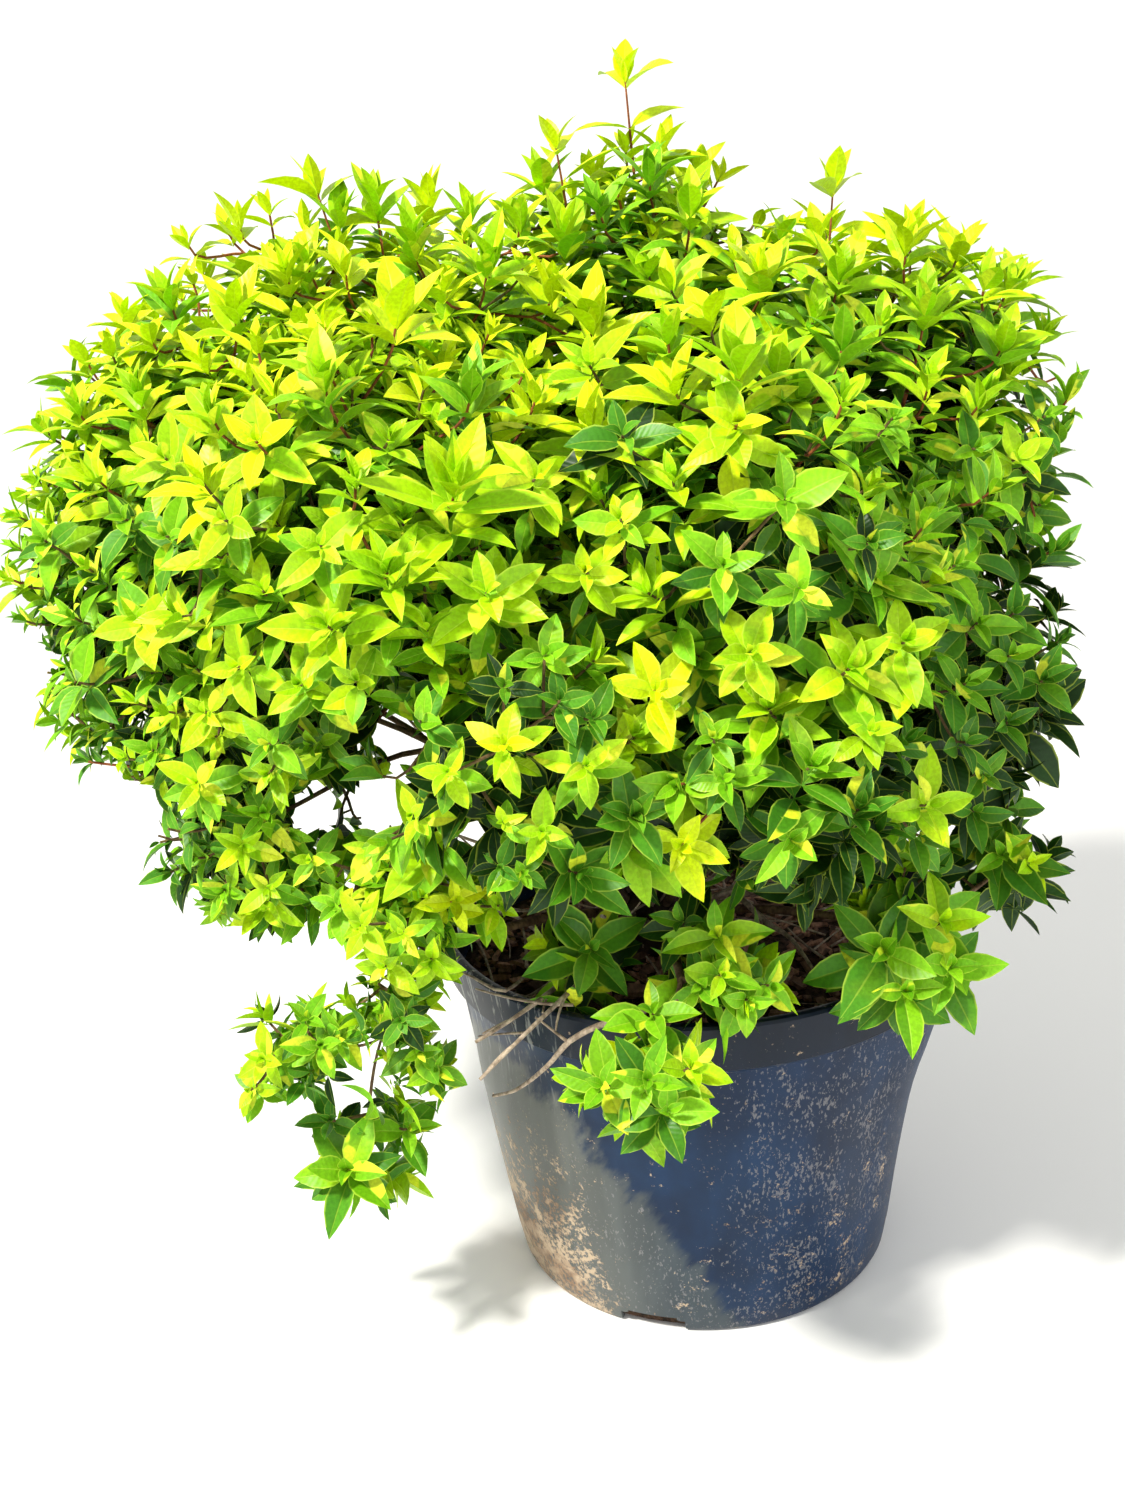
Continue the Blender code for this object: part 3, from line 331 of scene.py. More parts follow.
# The shoots that the photograph shows best: x and y in it, tone, leaf length in its pixels, and look
SHOWN = (
    (340, 225, "lime", 48, FLAME), (375, 205, "lime", 46, FLAME), (430, 208, "gold", 46, FLAME),
    (470, 222, "lime", 46, FLAME), (306, 264, "lime", 44, FLAME), (520, 228, "lime", 44, FLAME),
    (600, 212, "fresh", 44, FLAME), (1008, 288, "lime", 44, FLAME), (1042, 340, "lime", 42, FLAME),
    (1068, 398, "fresh", 42, FLAME), (1060, 440, "fresh", 42, FLAME), (412, 242, "lime", 52, FLAME),
    (287, 278, "gold", 55, FLAME), (236, 318, "gold", 56, FLAME), (397, 325, "gold", 66, FLAME),
    (325, 387, "lime", 60, FLAME), (257, 442, "gold", 62, STAR), (140, 402, "lime", 52, FLAME),
    (78, 412, "lime", 46, FLAME), (172, 305, "lime", 52, FLAME), (165, 458, "lime", 58, STAR),
    (225, 520, "lime", 56, STAR), (125, 520, "fresh", 50, STAR), (166, 535, "fresh", 50, STAR),
    (45, 540, "fresh", 46, STAR), (355, 482, "lime", 42, FLAME), (320, 545, "lime", 60, STAR),
    (388, 572, "lime", 56, FLAME), (213, 418, "lime", 48, FLAME), (487, 272, "lime", 58, FLAME),
    (565, 240, "lime", 52, FLAME), (552, 298, "gold", 56, FLAME), (592, 330, "gold", 62, FLAME),
    (590, 365, "lime", 66, STAR), (543, 190, "lime", 50, FLAME), (650, 180, "fresh", 48, FLAME),
    (690, 212, "lime", 50, FLAME), (760, 282, "gold", 62, FLAME), (738, 372, "lime", 74, FLAME),
    (736, 425, "gold", 66, STAR), (668, 338, "lime", 46, FLAME), (470, 398, "fresh", 60, FLAME),
    (455, 492, "lime", 84, FLAME), (535, 478, "lime", 62, STAR), (622, 435, "mid", 60, STAR),
    (840, 278, "lime", 60, FLAME), (842, 348, "fresh", 56, FLAME), (785, 497, "fresh", 68, STAR),
    (928, 385, "lime", 44, FLAME), (925, 312, "lime", 56, FLAME), (905, 250, "gold", 50, FLAME),
    (1003, 348, "lime", 52, FLAME), (985, 285, "lime", 46, FLAME), (893, 418, "fresh", 46, STAR),
    (980, 405, "lime", 46, FLAME), (1018, 458, "lime", 62, STAR), (975, 448, "fresh", 48, STAR),
    (925, 525, "fresh", 52, FLAME), (870, 542, "mid", 54, STAR), (955, 565, "fresh", 54, STAR),
    (237, 668, "lime", 52, STAR), (300, 684, "lime", 54, STAR), (352, 738, "lime", 58, STAR),
    (356, 682, "lime", 48, STAR), (140, 622, "lime", 52, STAR), (75, 682, "fresh", 54, STAR),
    (198, 784, "lime", 48, STAR), (268, 745, "fresh", 42, STAR), (370, 848, "lime", 42, STAR),
    (268, 888, "lime", 38, STAR), (205, 712, "lime", 46, STAR), (487, 592, "lime", 70, STAR),
    (585, 572, "lime", 52, STAR), (655, 690, "gold", 64, STAR), (723, 565, "fresh", 56, STAR),
    (750, 652, "lime", 56, STAR), (505, 745, "gold", 52, STAR), (587, 766, "lime", 50, STAR),
    (542, 832, "lime", 44, STAR), (448, 772, "lime", 42, STAR), (724, 780, "fresh", 48, STAR),
    (682, 845, "gold", 60, STAR), (430, 862, "gold", 38, STAR), (620, 518, "lime", 48, STAR),
    (712, 738, "fresh", 44, STAR), (905, 642, "lime", 68, STAR), (870, 732, "lime", 50, STAR),
    (928, 806, "lime", 60, STAR), (790, 840, "fresh", 58, STAR), (978, 622, "fresh", 50, STAR),
    (1042, 680, "mid", 50, STAR), (1014, 612, "mid", 44, STAR), (1010, 656, "fresh", 44, STAR),
    (1008, 722, "mid", 46, STAR), (985, 775, "mid", 46, STAR), (1002, 856, "fresh", 60, STAR),
    (975, 812, "mid", 54, STAR), (984, 838, "mid", 50, STAR), (1008, 806, "mid", 46, STAR),
    (1030, 862, "lime", 40, STAR), (905, 868, "fresh", 50, STAR), (965, 684, "fresh", 54, STAR),
    (965, 742, "mid", 56, STAR), (800, 588, "fresh", 52, STAR), (590, 949, "mid", 66, STAR),
    (716, 935, "fresh", 62, STAR), (682, 922, "mid", 54, STAR), (700, 985, "fresh", 50, STAR),
    (748, 1000, "fresh", 46, STAR), (722, 975, "lime", 46, STAR), (770, 985, "fresh", 46, STAR),
    (884, 952, "fresh", 86, STAR), (941, 922, "lime", 70, STAR), (905, 990, "fresh", 70, STAR),
    (950, 968, "fresh", 64, STAR), (950, 870, "mid", 54, STAR), (652, 1012, "fresh", 60, STAR),
    (647, 1080, "fresh", 60, STAR), (668, 1112, "fresh", 54, STAR), (603, 1085, "fresh", 54, STAR),
    (690, 1068, "lime", 54, STAR), (348, 1170, "fresh", 68, STAR), (408, 1128, "fresh", 48, STAR),
    (330, 1120, "mid", 42, STAR), (263, 1058, "lime", 38, STAR), (306, 1018, "fresh", 40, STAR),
    (320, 1045, "fresh", 38, STAR), (250, 1090, "lime", 34, STAR), (338, 1040, "fresh", 36, STAR),
    (419, 1053, "fresh", 38, STAR), (400, 1020, "mid", 36, STAR), (437, 1068, "fresh", 36, STAR),
    (384, 968, "lime", 38, STAR), (402, 935, "lime", 36, STAR), (360, 925, "lime", 40, STAR),
    (310, 860, "lime", 38, STAR), (335, 905, "fresh", 38, STAR), (455, 900, "gold", 40, STAR),
    (500, 905, "lime", 42, STAR), (480, 850, "lime", 40, STAR), (502, 822, "lime", 36, STAR),
    (522, 872, "fresh", 40, STAR), (500, 868, "mid", 36, STAR), (445, 842, "lime", 34, STAR),
    (412, 815, "lime", 36, STAR), (560, 700, "mid", 48, STAR), (545, 655, "fresh", 46, STAR),
    (420, 720, "fresh", 44, STAR), (505, 686, "mid", 44, STAR), (592, 717, "mid", 46, STAR),
    (919, 836, "mid", 46, STAR), (934, 868, "mid", 46, STAR), (1045, 415, "fresh", 46, STAR),
    (1030, 470, "mid", 46, STAR), (1040, 505, "fresh", 44, STAR),
)
SIGHT_STEPS = np.linspace(0.6, 1.7, 1101)   # from the camera along a line of sight, a millimetre apart
SIGHT_DEPTHS = (0.010, 0.008)    # how deep those shoots are in the crown, and in its small balls
SPRAY_OUT = 0.85                 # how far a spray follows the crown's own way out, and the top
SPRAY_RISES = (0.30, 0.62)       # low down, and higher up
SPRAY_SCATTER = 0.30
LEADER_SHARE = 0.10
LEADER_RISE = 0.018
LEADER_HEIGHT = 0.42             # the least height of a leader
YOUNG_SHARE = 0.6                # of the twigs with golden shoots
LAYERS = (                       # from the inside out; the shade of each layer is painted shade that darkens its leaves' tone
    {"depth": 0.104, "scatter": 0.012, "spacing": 0.052, "shade": 1.20},
    {"depth": 0.072, "scatter": 0.010, "spacing": 0.046, "shade": 0.95},
    {"depth": 0.045, "scatter": 0.009, "spacing": 0.036, "shade": 0.42},
    {"depth": 0.020, "scatter": 0.009, "spacing": 0.0345, "shade": 0.0},
)
# Leaves between two balls: the mass that they grow from, and the ball that they fill
FILLS = (("skirt_6", (-0.040, -0.140, 0.425, 0.072)),)
SPOT_SPACING = 0.4               # the spots for shoots against the shoots that are grown on them
SPOT_STEPS = np.linspace(0.15, 1.6, 59)   # from a ball's middle outwards, in its radii
TWIG_RADII = (0.0013, 0.0008)
TWIG_THRIFT = 0.5                # how much a start far along other twigs counts against a short twig
TWIG_BENDS = (0.3, 0.42)
TONE_LIMITS = (("gold", 0.80), ("lime", 0.44), ("fresh", 0.16), ("mid", -0.10))   # the least sun of each
OLDER = {"gold": "lime", "lime": "fresh", "fresh": "mid", "mid": "deep", "deep": "deep"}
OLDER_CHANCES = (0, 0, 0.15, 0.6, 0.9, 1.0)   # of the next darker tone, from the tip of a shoot down
EXTRA_LEAF_CHANCE = 0.28
TONE_SCATTER = 0.13
LOW_HEIGHTS = (0.33, 0.45)
LOW_LIGHTS = (0.17, 0.13, -0.07)   # under the first, then on the left and in the middle under the second
LIT_FROM, LIT_WITHIN = 0.36, 0.34   # sunlight grows from this height on, within so much
RIGHT_SIDE, SIDE_WIDTH = 0.16, 0.46   # and from this x to the left
SIDE_LIMIT = 0.48
SHADE_EDGE, SHADE_DEPTH = 0.06, 3.1   # the low right is shaded beyond this x, so much for each metre
LEFT_EDGE, LEFT_DEPTH = -0.28, 0.9    # and the far left beyond this one
SUN_WEIGHTS = (0.80, 0.34, 0.12)   # of height, of the left side and of facing up

# Light
SKY_STRENGTH = 0.68
LAMP_AIM = Vector((-0.05, 0.0, 0.45))
LAMPS = (                        # place, size, power and tint
    ("key", (-1.55, -1.35, 2.8), 0.34, 146, (1.0, 0.97, 0.88)),
    ("fill", (1.6, -2.1, 0.9), 1.8, 20, (0.97, 0.98, 1.0)),
)


# Materials


def direction(azimuth, lift):
    turn, rise = math.radians(azimuth), math.radians(lift)
    return Vector((math.cos(turn) * math.cos(rise), math.sin(turn) * math.cos(rise), math.sin(rise)))


def colour(red, green, blue):
    """Linear light from screen values of 0 to 255."""
    def linear(value):
        value /= 255
        return value / 12.92 if value <= 0.04045 else ((value + 0.055) / 1.055) ** 2.4
    return (linear(red), linear(green), linear(blue), 1.0)


class Shader:
    """A material's node tree, with short calls for the nodes used here."""

    def __init__(self, name, roughness=0.5, specular=0.5):
        self.material = bpy.data.materials.new(name)
        self.material.use_nodes = True
        self.tree = self.material.node_tree
        self.principled = self.tree.nodes["Principled BSDF"]
        self.principled.inputs["Roughness"].default_value = roughness
        self.principled.inputs["Specular IOR Level"].default_value = specular

    def node(self, kind, **settings):
        made = self.tree.nodes.new(kind)
        for key, value in settings.items():
            setattr(made, key, value)
        return made

    def put(self, socket, value):
        if isinstance(value, bpy.types.NodeSocket):
            self.tree.links.new(value, socket)
        else:
            socket.default_value = value

    def coordinates(self):
        return self.node("ShaderNodeTexCoord").outputs["Object"]

    def split(self, vector):
        made = self.node("ShaderNodeSeparateXYZ")
        self.put(made.inputs[0], vector)
        return made.outputs

    def math(self, operation, first, second=0.0, clamp=False):
        made = self.node("ShaderNodeMath", operation=operation, use_clamp=clamp)
        self.put(made.inputs[0], first)
        self.put(made.inputs[1], second)
        return made.outputs[0]

    def times(self, first, second):
        return self.math("MULTIPLY", first, second)

    def plus(self, first, second):
        return self.math("ADD", first, second)

    def minus(self, first, second):
        return self.math("SUBTRACT", first, second)

    def ramp(self, value, low, high, out_low=0.0, out_high=1.0):
        made = self.node("ShaderNodeMapRange", interpolation_type="SMOOTHSTEP")
        for socket, given in zip(made.inputs, (value, low, high, out_low, out_high)):
            self.put(socket, given)
        return made.outputs[0]

    def stretched(self, vector, x, y, z):
        made = self.node("ShaderNodeMapping")
        self.put(made.inputs["Vector"], vector)
        made.inputs["Scale"].default_value = (x, y, z)
        return made.outputs[0]

    def turned(self, vector, degrees, along, up):
        """Coordinates that lean by an angle, seen from the front, and are stretched along the lean."""
        made = self.node("ShaderNodeMapping", vector_type="TEXTURE")
        self.put(made.inputs["Vector"], vector)
        made.inputs["Rotation"].default_value = (0.0, math.radians(degrees), 0.0)
        return self.stretched(made.outputs[0], along, along, up)

    def noise(self, vector, scale, detail=3.0, rough=0.55):
        made = self.node("ShaderNodeTexNoise")
        self.put(made.inputs["Vector"], vector)
        made.inputs["Scale"].default_value = scale
        made.inputs["Detail"].default_value = detail
        made.inputs["Roughness"].default_value = rough
        return made.outputs["Fac"]

    def mix(self, share, first, second):
        made = self.node("ShaderNodeMix", data_type="RGBA")
        self.put(made.inputs["Factor"], share)
        self.put(made.inputs[6], first)
        self.put(made.inputs[7], second)
        return made.outputs[2]

    def shade(self, base, share):
        """The colour made lighter or darker by a factor round 1."""
        made = self.node("ShaderNodeMix", data_type="RGBA", blend_type="MULTIPLY")
        made.inputs["Factor"].default_value = 1.0
        grey = self.node("ShaderNodeCombineXYZ")
        for socket in grey.inputs:
            self.put(socket, share)
        self.put(made.inputs[6], base)
        self.put(made.inputs[7], grey.outputs[0])
        return made.outputs[2]

    def bump(self, height, distance, strength=1.0):
        made = self.node("ShaderNodeBump")
        made.inputs["Distance"].default_value = distance
        made.inputs["Strength"].default_value = strength
        self.put(made.inputs["Height"], height)
        self.put(self.principled.inputs["Normal"], made.outputs[0])

    def finish(self, base, roughness=None):
        self.put(self.principled.inputs["Base Color"], base)
        if roughness is not None:
            self.put(self.principled.inputs["Roughness"], roughness)
        return self.material


# Painted sunlight: the yellow of sun patches on the leaves
PAINTED_SUN_YELLOW = colour(216, 236, 16)
VARIEGATION = colour(226, 236, 52)
PALE_EDGE = colour(214, 232, 84)
# Each tone: a paler and a darker colour, how yellow its painted sun patches are, and its share of variegated
# leaves
LEAF_TONES = {
    "gold": (colour(212, 232, 10), colour(186, 218, 8), 0.7, 0.0),
    "lime": (colour(178, 220, 12), colour(144, 198, 10), 0.45, 0.22),
    "fresh": (colour(130, 190, 20), colour(98, 162, 17), 0.20, 0.16),
    "mid": (colour(84, 146, 23), colour(56, 114, 18), 0.05, 0.08),
    "deep": (colour(37, 78, 15), colour(20, 49, 9), 0.0, 0.0),
}


def leaf_material(tone, light, dark, sunny, variegated):
    """A leaf with a paler margin, a midrib and fine side veins, yellower in patches of painted sunlight.

    The fourth argument sets how yellow the painted sun patches are, and variegated is the share of leaves
    with yellow blotches.
    """
    shader = Shader(f"leaf_{tone}", specular=0.22)
    u, v, _ = shader.split(shader.node("ShaderNodeUVMap", uv_map="leaf").outputs[0])
    edge = shader.times(shader.math("ABSOLUTE", shader.minus(u, 0.5)), 2.0)
    island = shader.node("ShaderNodeNewGeometry").outputs["Random Per Island"]
    # Painted sunlight: patches where the sun would fall are mixed towards yellow
    cloud = shader.noise(shader.coordinates(), 26.0, 2.0)
    base = shader.mix(shader.math("FRACT", shader.times(island, 7.0)), light, dark)
    patch = shader.times(shader.ramp(cloud, 0.54, 0.66), sunny)
    base = shader.mix(patch, base, PAINTED_SUN_YELLOW)
    blotch = shader.ramp(shader.noise(shader.coordinates(), 52.0, 1.0), 0.50, 0.53)
    chosen = shader.math("LESS_THAN", shader.math("FRACT", shader.times(island, 13.0)), variegated)
    base = shader.mix(shader.times(blotch, shader.times(chosen, 0.85)), base, VARIEGATION)
    base = shader.shade(base, shader.ramp(island, 0.0, 1.0, 0.84, 1.12))
    mottle = shader.noise(shader.coordinates(), 420.0, 2.0)
    base = shader.shade(base, shader.ramp(mottle, 0.35, 0.65, 0.90, 1.10))
    slant = shader.minus(v, shader.times(edge, 0.16))
    veins = shader.math("SINE", shader.times(slant, 58.0))
    base = shader.shade(base, shader.ramp(veins, 0.4, 1.0, 1.0, 1.03))
    midrib = shader.ramp(edge, 0.02, 0.08, 0.40, 0.0)
    margin = shader.ramp(edge, 0.84, 0.97, 0.0, 0.75)
    base = shader.mix(shader.math("MAXIMUM", midrib, margin), base, shader.mix(0.5, light, PALE_EDGE))
    relief = shader.plus(shader.times(veins, -0.12), shader.times(midrib, -1.2))
    shader.bump(relief, 0.0006, 0.5)
    return shader.finish(base, shader.ramp(island, 0.0, 1.0, 0.38, 0.55))


def bark_material(name, light, dark, scale=90.0):
    shader = Shader(name, roughness=0.8, specular=0.25)
    place = shader.coordinates()
    long_grain = shader.noise(shader.stretched(place, 1.0, 1.0, 0.25), scale, 5.0, 0.65)
    spots = shader.noise(place, scale * 3.2, 3.0)
    base = shader.mix(shader.ramp(long_grain, 0.35, 0.65), dark, light)
    base = shader.shade(base, shader.ramp(spots, 0.3, 0.7, 0.75, 1.15))
    shader.bump(long_grain, 0.0012, 0.8)
    return shader.finish(base)


def mulch_material():
    shader = Shader("bark_mulch", roughness=0.92, specular=0.2)
    place = shader.coordinates()
    island = shader.node("ShaderNodeNewGeometry").outputs["Random Per Island"]
    grain = shader.noise(shader.stretched(place, 1.0, 0.35, 1.0), 260.0, 4.0, 0.65)
    base = shader.mix(island, colour(72, 52, 42), colour(182, 138, 112))
    base = shader.shade(base, shader.ramp(grain, 0.3, 0.7, 0.55, 1.25))
    shader.bump(grain, 0.0012, 0.9)
    return shader.finish(base)


def soil_material():
    shader = Shader("potting_mix", roughness=0.95, specular=0.15)
    place = shader.coordinates()
    crumbs = shader.noise(place, 240.0, 5.0, 0.7)
    base = shader.mix(shader.ramp(crumbs, 0.35, 0.65), colour(34, 25, 19), colour(84, 62, 48))
    shader.bump(crumbs, 0.003, 1.0)
    return shader.finish(base)


def pot_material():
    """Navy plastic with painted sunlight that greys its left side, dried mud, pale flecks and scuffs under
    the rim.
    """
    shader = Shader("pot_plastic", specular=0.22)
    place = shader.coordinates()
    x, y, z = shader.split(place)
    reach = shader.math("SQRT", shader.plus(shader.times(x, x), shader.times(y, y)))

    def facing(azimuth):
        """How far the wall faces a direction, from -1 to 1."""
        way = direction(azimuth, 0)
        return shader.math("DIVIDE", shader.plus(shader.times(x, way.x), shader.times(y, way.y)), reach)

    toward = facing(-155)
    right = shader.ramp(facing(-48), 0.55, 0.90)
    behind = shader.ramp(y, 0.0, 0.12, 0.0, 0.5)
    low = shader.ramp(z, 0.02, 0.20, 1.0, 0.0)
    band_foot = POT_HEIGHT - BAND_HEIGHT
    wall = shader.ramp(z, band_foot - 0.002, band_foot + 0.002, 1.0, 0.0)
    cloud = shader.noise(place, 11.0, 4.0, 0.6)
    plastic = shader.mix(shader.ramp(cloud, 0.35, 0.7), colour(7, 29, 56), colour(15, 45, 78))
    plastic = shader.mix(shader.minus(0.75, shader.times(wall, 0.75)), plastic, colour(17, 22, 29))
    # Painted sunlight: the sunny side is a grey patch whose border leans and is broken up by streaks of
    # painted leaf shadow
    painted_leaf_shadow_streaks = shader.noise(shader.turned(place, 38, 1.0, 0.10), 70.0, 4.0, 0.6)
    border = shader.plus(0.15, shader.times(z, 3.3))
    border = shader.plus(border, shader.times(painted_leaf_shadow_streaks, 0.30))
    sunny = shader.ramp(shader.minus(toward, border), -0.02, 0.08, 0.0, 0.92)
    # Painted sunlight: how the plastic looks where the sun falls on it
    painted_sunlit_grey = shader.mix(shader.ramp(toward, 0.55, 0.95), colour(62, 71, 77), colour(96, 99, 95))
    plastic = shader.mix(sunny, plastic, painted_sunlit_grey)
    grain = shader.noise(shader.stretched(place, 1.0, 1.0, 0.12), 34.0, 3.0, 0.6)
    plastic = shader.shade(plastic, shader.ramp(grain, 0.35, 0.65, 0.88, 1.14))
    # Flecks
    patchy = shader.noise(place, 30.0, 4.0, 0.65)
    dirt = shader.times(shader.math("MAXIMUM", right, behind), shader.math("MAXIMUM", wall, 0.3))
    dirt = shader.math("MAXIMUM", dirt, shader.times(sunny, 0.7))
    dirt = shader.math("ADD", dirt, shader.times(low, 0.25), clamp=True)
    flecks = shader.noise(shader.stretched(place, 1.0, 1.0, 0.5), 460.0, 3.0, 0.66)
    limit = shader.minus(0.76, shader.times(shader.times(dirt, patchy), 0.38))
    marks = shader.ramp(shader.minus(flecks, limit), 0.0, 0.05, 0.0, 0.55)
    base = shader.mix(marks, plastic, colour(138, 136, 138))
    # Mud, thickest low on the sunny side
    density = shader.times(shader.ramp(toward, 0.74, 0.96), low)
    density = shader.math("MAXIMUM", density, shader.times(shader.times(right, low), 0.24))
    mud = shader.times(shader.noise(place, 60.0, 5.0, 0.7), 0.5)
    mud = shader.plus(mud, shader.times(shader.noise(place, 330.0, 4.0, 0.7), 0.5))
    caked = shader.ramp(shader.plus(mud, shader.times(density, 0.17)), 0.60, 0.66, 0.0, 0.85)
    dried = shader.mix(shader.ramp(patchy, 0.4, 0.6), colour(150, 122, 98), colour(198, 176, 150))
    base = shader.mix(caked, base, dried)
    # Scuffs under the rim
    scuffs = shader.noise(shader.stretched(place, 3.0, 3.0, 0.22), 70.0, 4.0, 0.65)
    high = shader.times(shader.ramp(z, 0.16, 0.205), shader.ramp(toward, 0.78, 0.95))
    scuffed = shader.times(shader.ramp(scuffs, 0.55, 0.64, 0.0, 0.75), high)
    base = shader.mix(scuffed, base, colour(150, 152, 150))
    rough = shader.plus(0.42, shader.times(shader.math("MAXIMUM", caked, marks), 0.45))
    fine = shader.noise(place, 900.0, 2.0)
    relief = shader.plus(shader.times(caked, 0.8), shader.times(marks, 0.4))
    shader.bump(shader.plus(relief, shader.times(fine, 0.12)), 0.0007, 0.6)
    return shader.finish(base, rough)


# Meshes


def add_object(name, data):
    """A new object in the scene."""
    made = bpy.data.objects.new(name, data)
    bpy.context.scene.collection.objects.link(made)
    return made


def add_piece(name, mesh, material, nodes=()):
    """A piece of the plant in a material slot, in the place of the named nodes of the solids."""
    piece = add_object(name, mesh)
    mesh.materials.clear()
    mesh.materials.append(material)
    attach(piece, "root")
    if nodes:
        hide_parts(*nodes)


def circle(radius, height, count):
    """Places round the pot's axis."""
    turns = [2 * math.pi * k / count for k in range(count)]
    return [(radius * math.cos(turn), radius * math.sin(turn), height) for turn in turns]


def scattered(dice, reach):
    """A chance place on a disc: its distance from the middle, x and y."""
    radius, angle = reach * math.sqrt(dice.random()), dice.uniform(0, 2 * math.pi)
    return radius, radius * math.cos(angle), radius * math.sin(angle)


def mesh_of(work, name):
    """The mesh that a bmesh was building."""
    made = bpy.data.meshes.new(name)
    work.to_mesh(made)
    work.free()
    return made


class Tubes:
    """Tapering tubes gathered into one mesh."""

    def __init__(self):
        self.corners = []
        self.faces = []

    def add(self, points, radii, sides, wobble=0.0, dice=None):
        count = len(points)
        first = len(self.corners)
        level = None
        for index, (place, radius) in enumerate(zip(points, radii)):
            before, after = points[max(index - 1, 0)], points[min(index + 1, count - 1)]
            way = (after - before).normalized()
            across = way.orthogonal() if level is None else way.cross(level).cross(way)
            level = across.normalized()
            other = way.cross(level)
            for side in range(sides):
                angle = 2 * math.pi * side / sides
                reach = radius * (1 + (dice.uniform(-wobble, wobble) if dice else 0.0))
                self.corners.append(place + (level * math.cos(angle) + other * math.sin(angle)) * reach)
        for ring in range(count - 1):
            for side in range(sides):
                a = first + ring * sides + side
                b = first + ring * sides + (side + 1) % sides
                self.faces.append((a, b, b + sides, a + sides))
        self.faces.append(tuple(range(first + sides - 1, first - 1, -1)))
        last = first + (count - 1) * sides
        self.faces.append(tuple(range(last, last + sides)))

    def mesh(self, name):
        made = bpy.data.meshes.new(name)
        made.from_pydata([tuple(corner) for corner in self.corners], [], self.faces)
        made.shade_smooth()
        made.set_sharp_from_angle(angle=math.radians(60))
        return made


class Leaves:
    """Leaves of one tone, each a folded strip that bends back towards its tip."""

    def __init__(self):
        self.rows = []

    def add(self, root, way, face, length, width, curl, fold, twist, free):
        self.rows.append((*root, *way, *face, length, width, curl, fold, twist, free))

    def keep(self, crown):
        """Drops the leaves that would stand out of the crown or touch what foliage keeps clear of."""
        rows = np.array(self.rows)
        root, way, length = rows[:, 0:3], rows[:, 3:6], rows[:, 9:10]
        middle, tip = root + way * length * 0.5, root + way * length * TIP_SHARE
        kept = crown.holds(tip) | (rows[:, 14] > 0)
        kept &= keeps_clear(middle) & keeps_clear(tip)
        kept &= ((tip > np.array(cad_low) - BOX_MARGIN) & (tip < np.array(cad_high) + BOX_MARGIN)).all(axis=1)
        self.rows = rows[kept]


def leaf_corners(rows):
    """The corners of each leaf: three at every station from the root on, and the tip."""
    root, way, face = rows[:, 0:3], rows[:, 3:6], rows[:, 6:9]
    length, width, curl, fold, twist = rows[:, 9:14].T
    across = np.cross(way, face)
    across /= np.linalg.norm(across, axis=1, keepdims=True)
    normal = np.cross(across, way)
    cosine, sine = np.cos(twist)[:, None], np.sin(twist)[:, None]
    across, normal = across * cosine + normal * sine, normal * cosine - across * sine
    stations = np.array(LEAF_STATIONS + (1.0,))
    halves = np.array(LEAF_HALF_WIDTHS + (0.0,))
    # The midrib is straight near the root and bends back along a growing arc
    bend = curl[:, None] * stations[None, :] ** CURL_GROWTH
    step = np.diff(stations, prepend=0.0)[None, :] * length[:, None]
    along = np.cumsum(step * np.cos(bend), axis=1)
    drop = -np.cumsum(step * np.sin(bend), axis=1)
    half = halves[None, :] * (width * length / 2)[:, None]
    spread, lift = half * np.cos(fold)[:, None], half * np.sin(fold)[:, None]
    middle = (root[:, None, :] + along[:, :, None] * way[:, None, :]
              + drop[:, :, None] * normal[:, None, :])
    side = spread[:, :, None] * across[:, None, :]
    rise = lift[:, :, None] * normal[:, None, :]
    rings = np.stack((middle - side + rise, middle, middle + side + rise), axis=2)
    count = len(LEAF_STATIONS)
    return np.concatenate((rings[:, :count].reshape(len(rows), -1, 3), middle[:, count:]), axis=1)


def leaf_pattern():
    """The faces of a leaf by its corners, and where their corners lie across and along the leaf."""
    cells, marks = [], []
    stations = LEAF_STATIONS + (1.0,)
    last = len(LEAF_STATIONS) - 1
    for ring, (near, far) in enumerate(zip(stations, stations[1:])):
        for left in (0, 1):
            a = ring * 3 + left
            marks += [(left / 2, near), ((left + 1) / 2, near)]
            if ring < last:
                cells.append((a, a + 1, a + 4, a + 3))
                marks += [((left + 1) / 2, far), (left / 2, far)]
            else:
                cells.append((a, a + 1, 3 * len(LEAF_STATIONS)))
                marks.append((0.5, far))
    return cells, marks


def leaf_mesh(name, rows):
    """One mesh with a leaf for each row."""
    corners = leaf_corners(rows)
    leaves, per_leaf, _ = corners.shape
    cells, marks = leaf_pattern()
    loops = np.array([corner for cell in cells for corner in cell])
    loops = (loops[None, :] + np.arange(leaves)[:, None] * per_leaf).ravel()
    sizes = np.tile([len(cell) for cell in cells], leaves)
    made = bpy.data.meshes.new(name)
    made.vertices.add(leaves * per_leaf)
    made.vertices.foreach_set("co", corners.astype(np.float32).ravel())
    made.loops.add(len(loops))
    made.loops.foreach_set("vertex_index", loops.astype(np.int32))
    made.polygons.add(len(sizes))
    starts = np.concatenate(([0], np.cumsum(sizes)[:-1]))
    made.polygons.foreach_set("loop_start", starts.astype(np.int32))
    made.update(calc_edges=True)
    uv = made.uv_layers.new(name="leaf")
    uv.data.foreach_set("uv", np.tile(np.array(marks), (leaves, 1)).astype(np.float32).ravel())
    made.validate()
    made.shade_smooth()
    made.set_sharp_from_angle(angle=math.radians(24))
    return made


# Limbs, by the rules of the solids


def bezier(start, first, second, end, count):
    """Points along a cubic curve."""
    points = []
    for index in range(count):
        t = index / (count - 1)
        s = 1 - t
        points.append(start * s ** 3 + first * (3 * s * s * t) + second * (3 * s * t * t) + end * t ** 3)
    return points


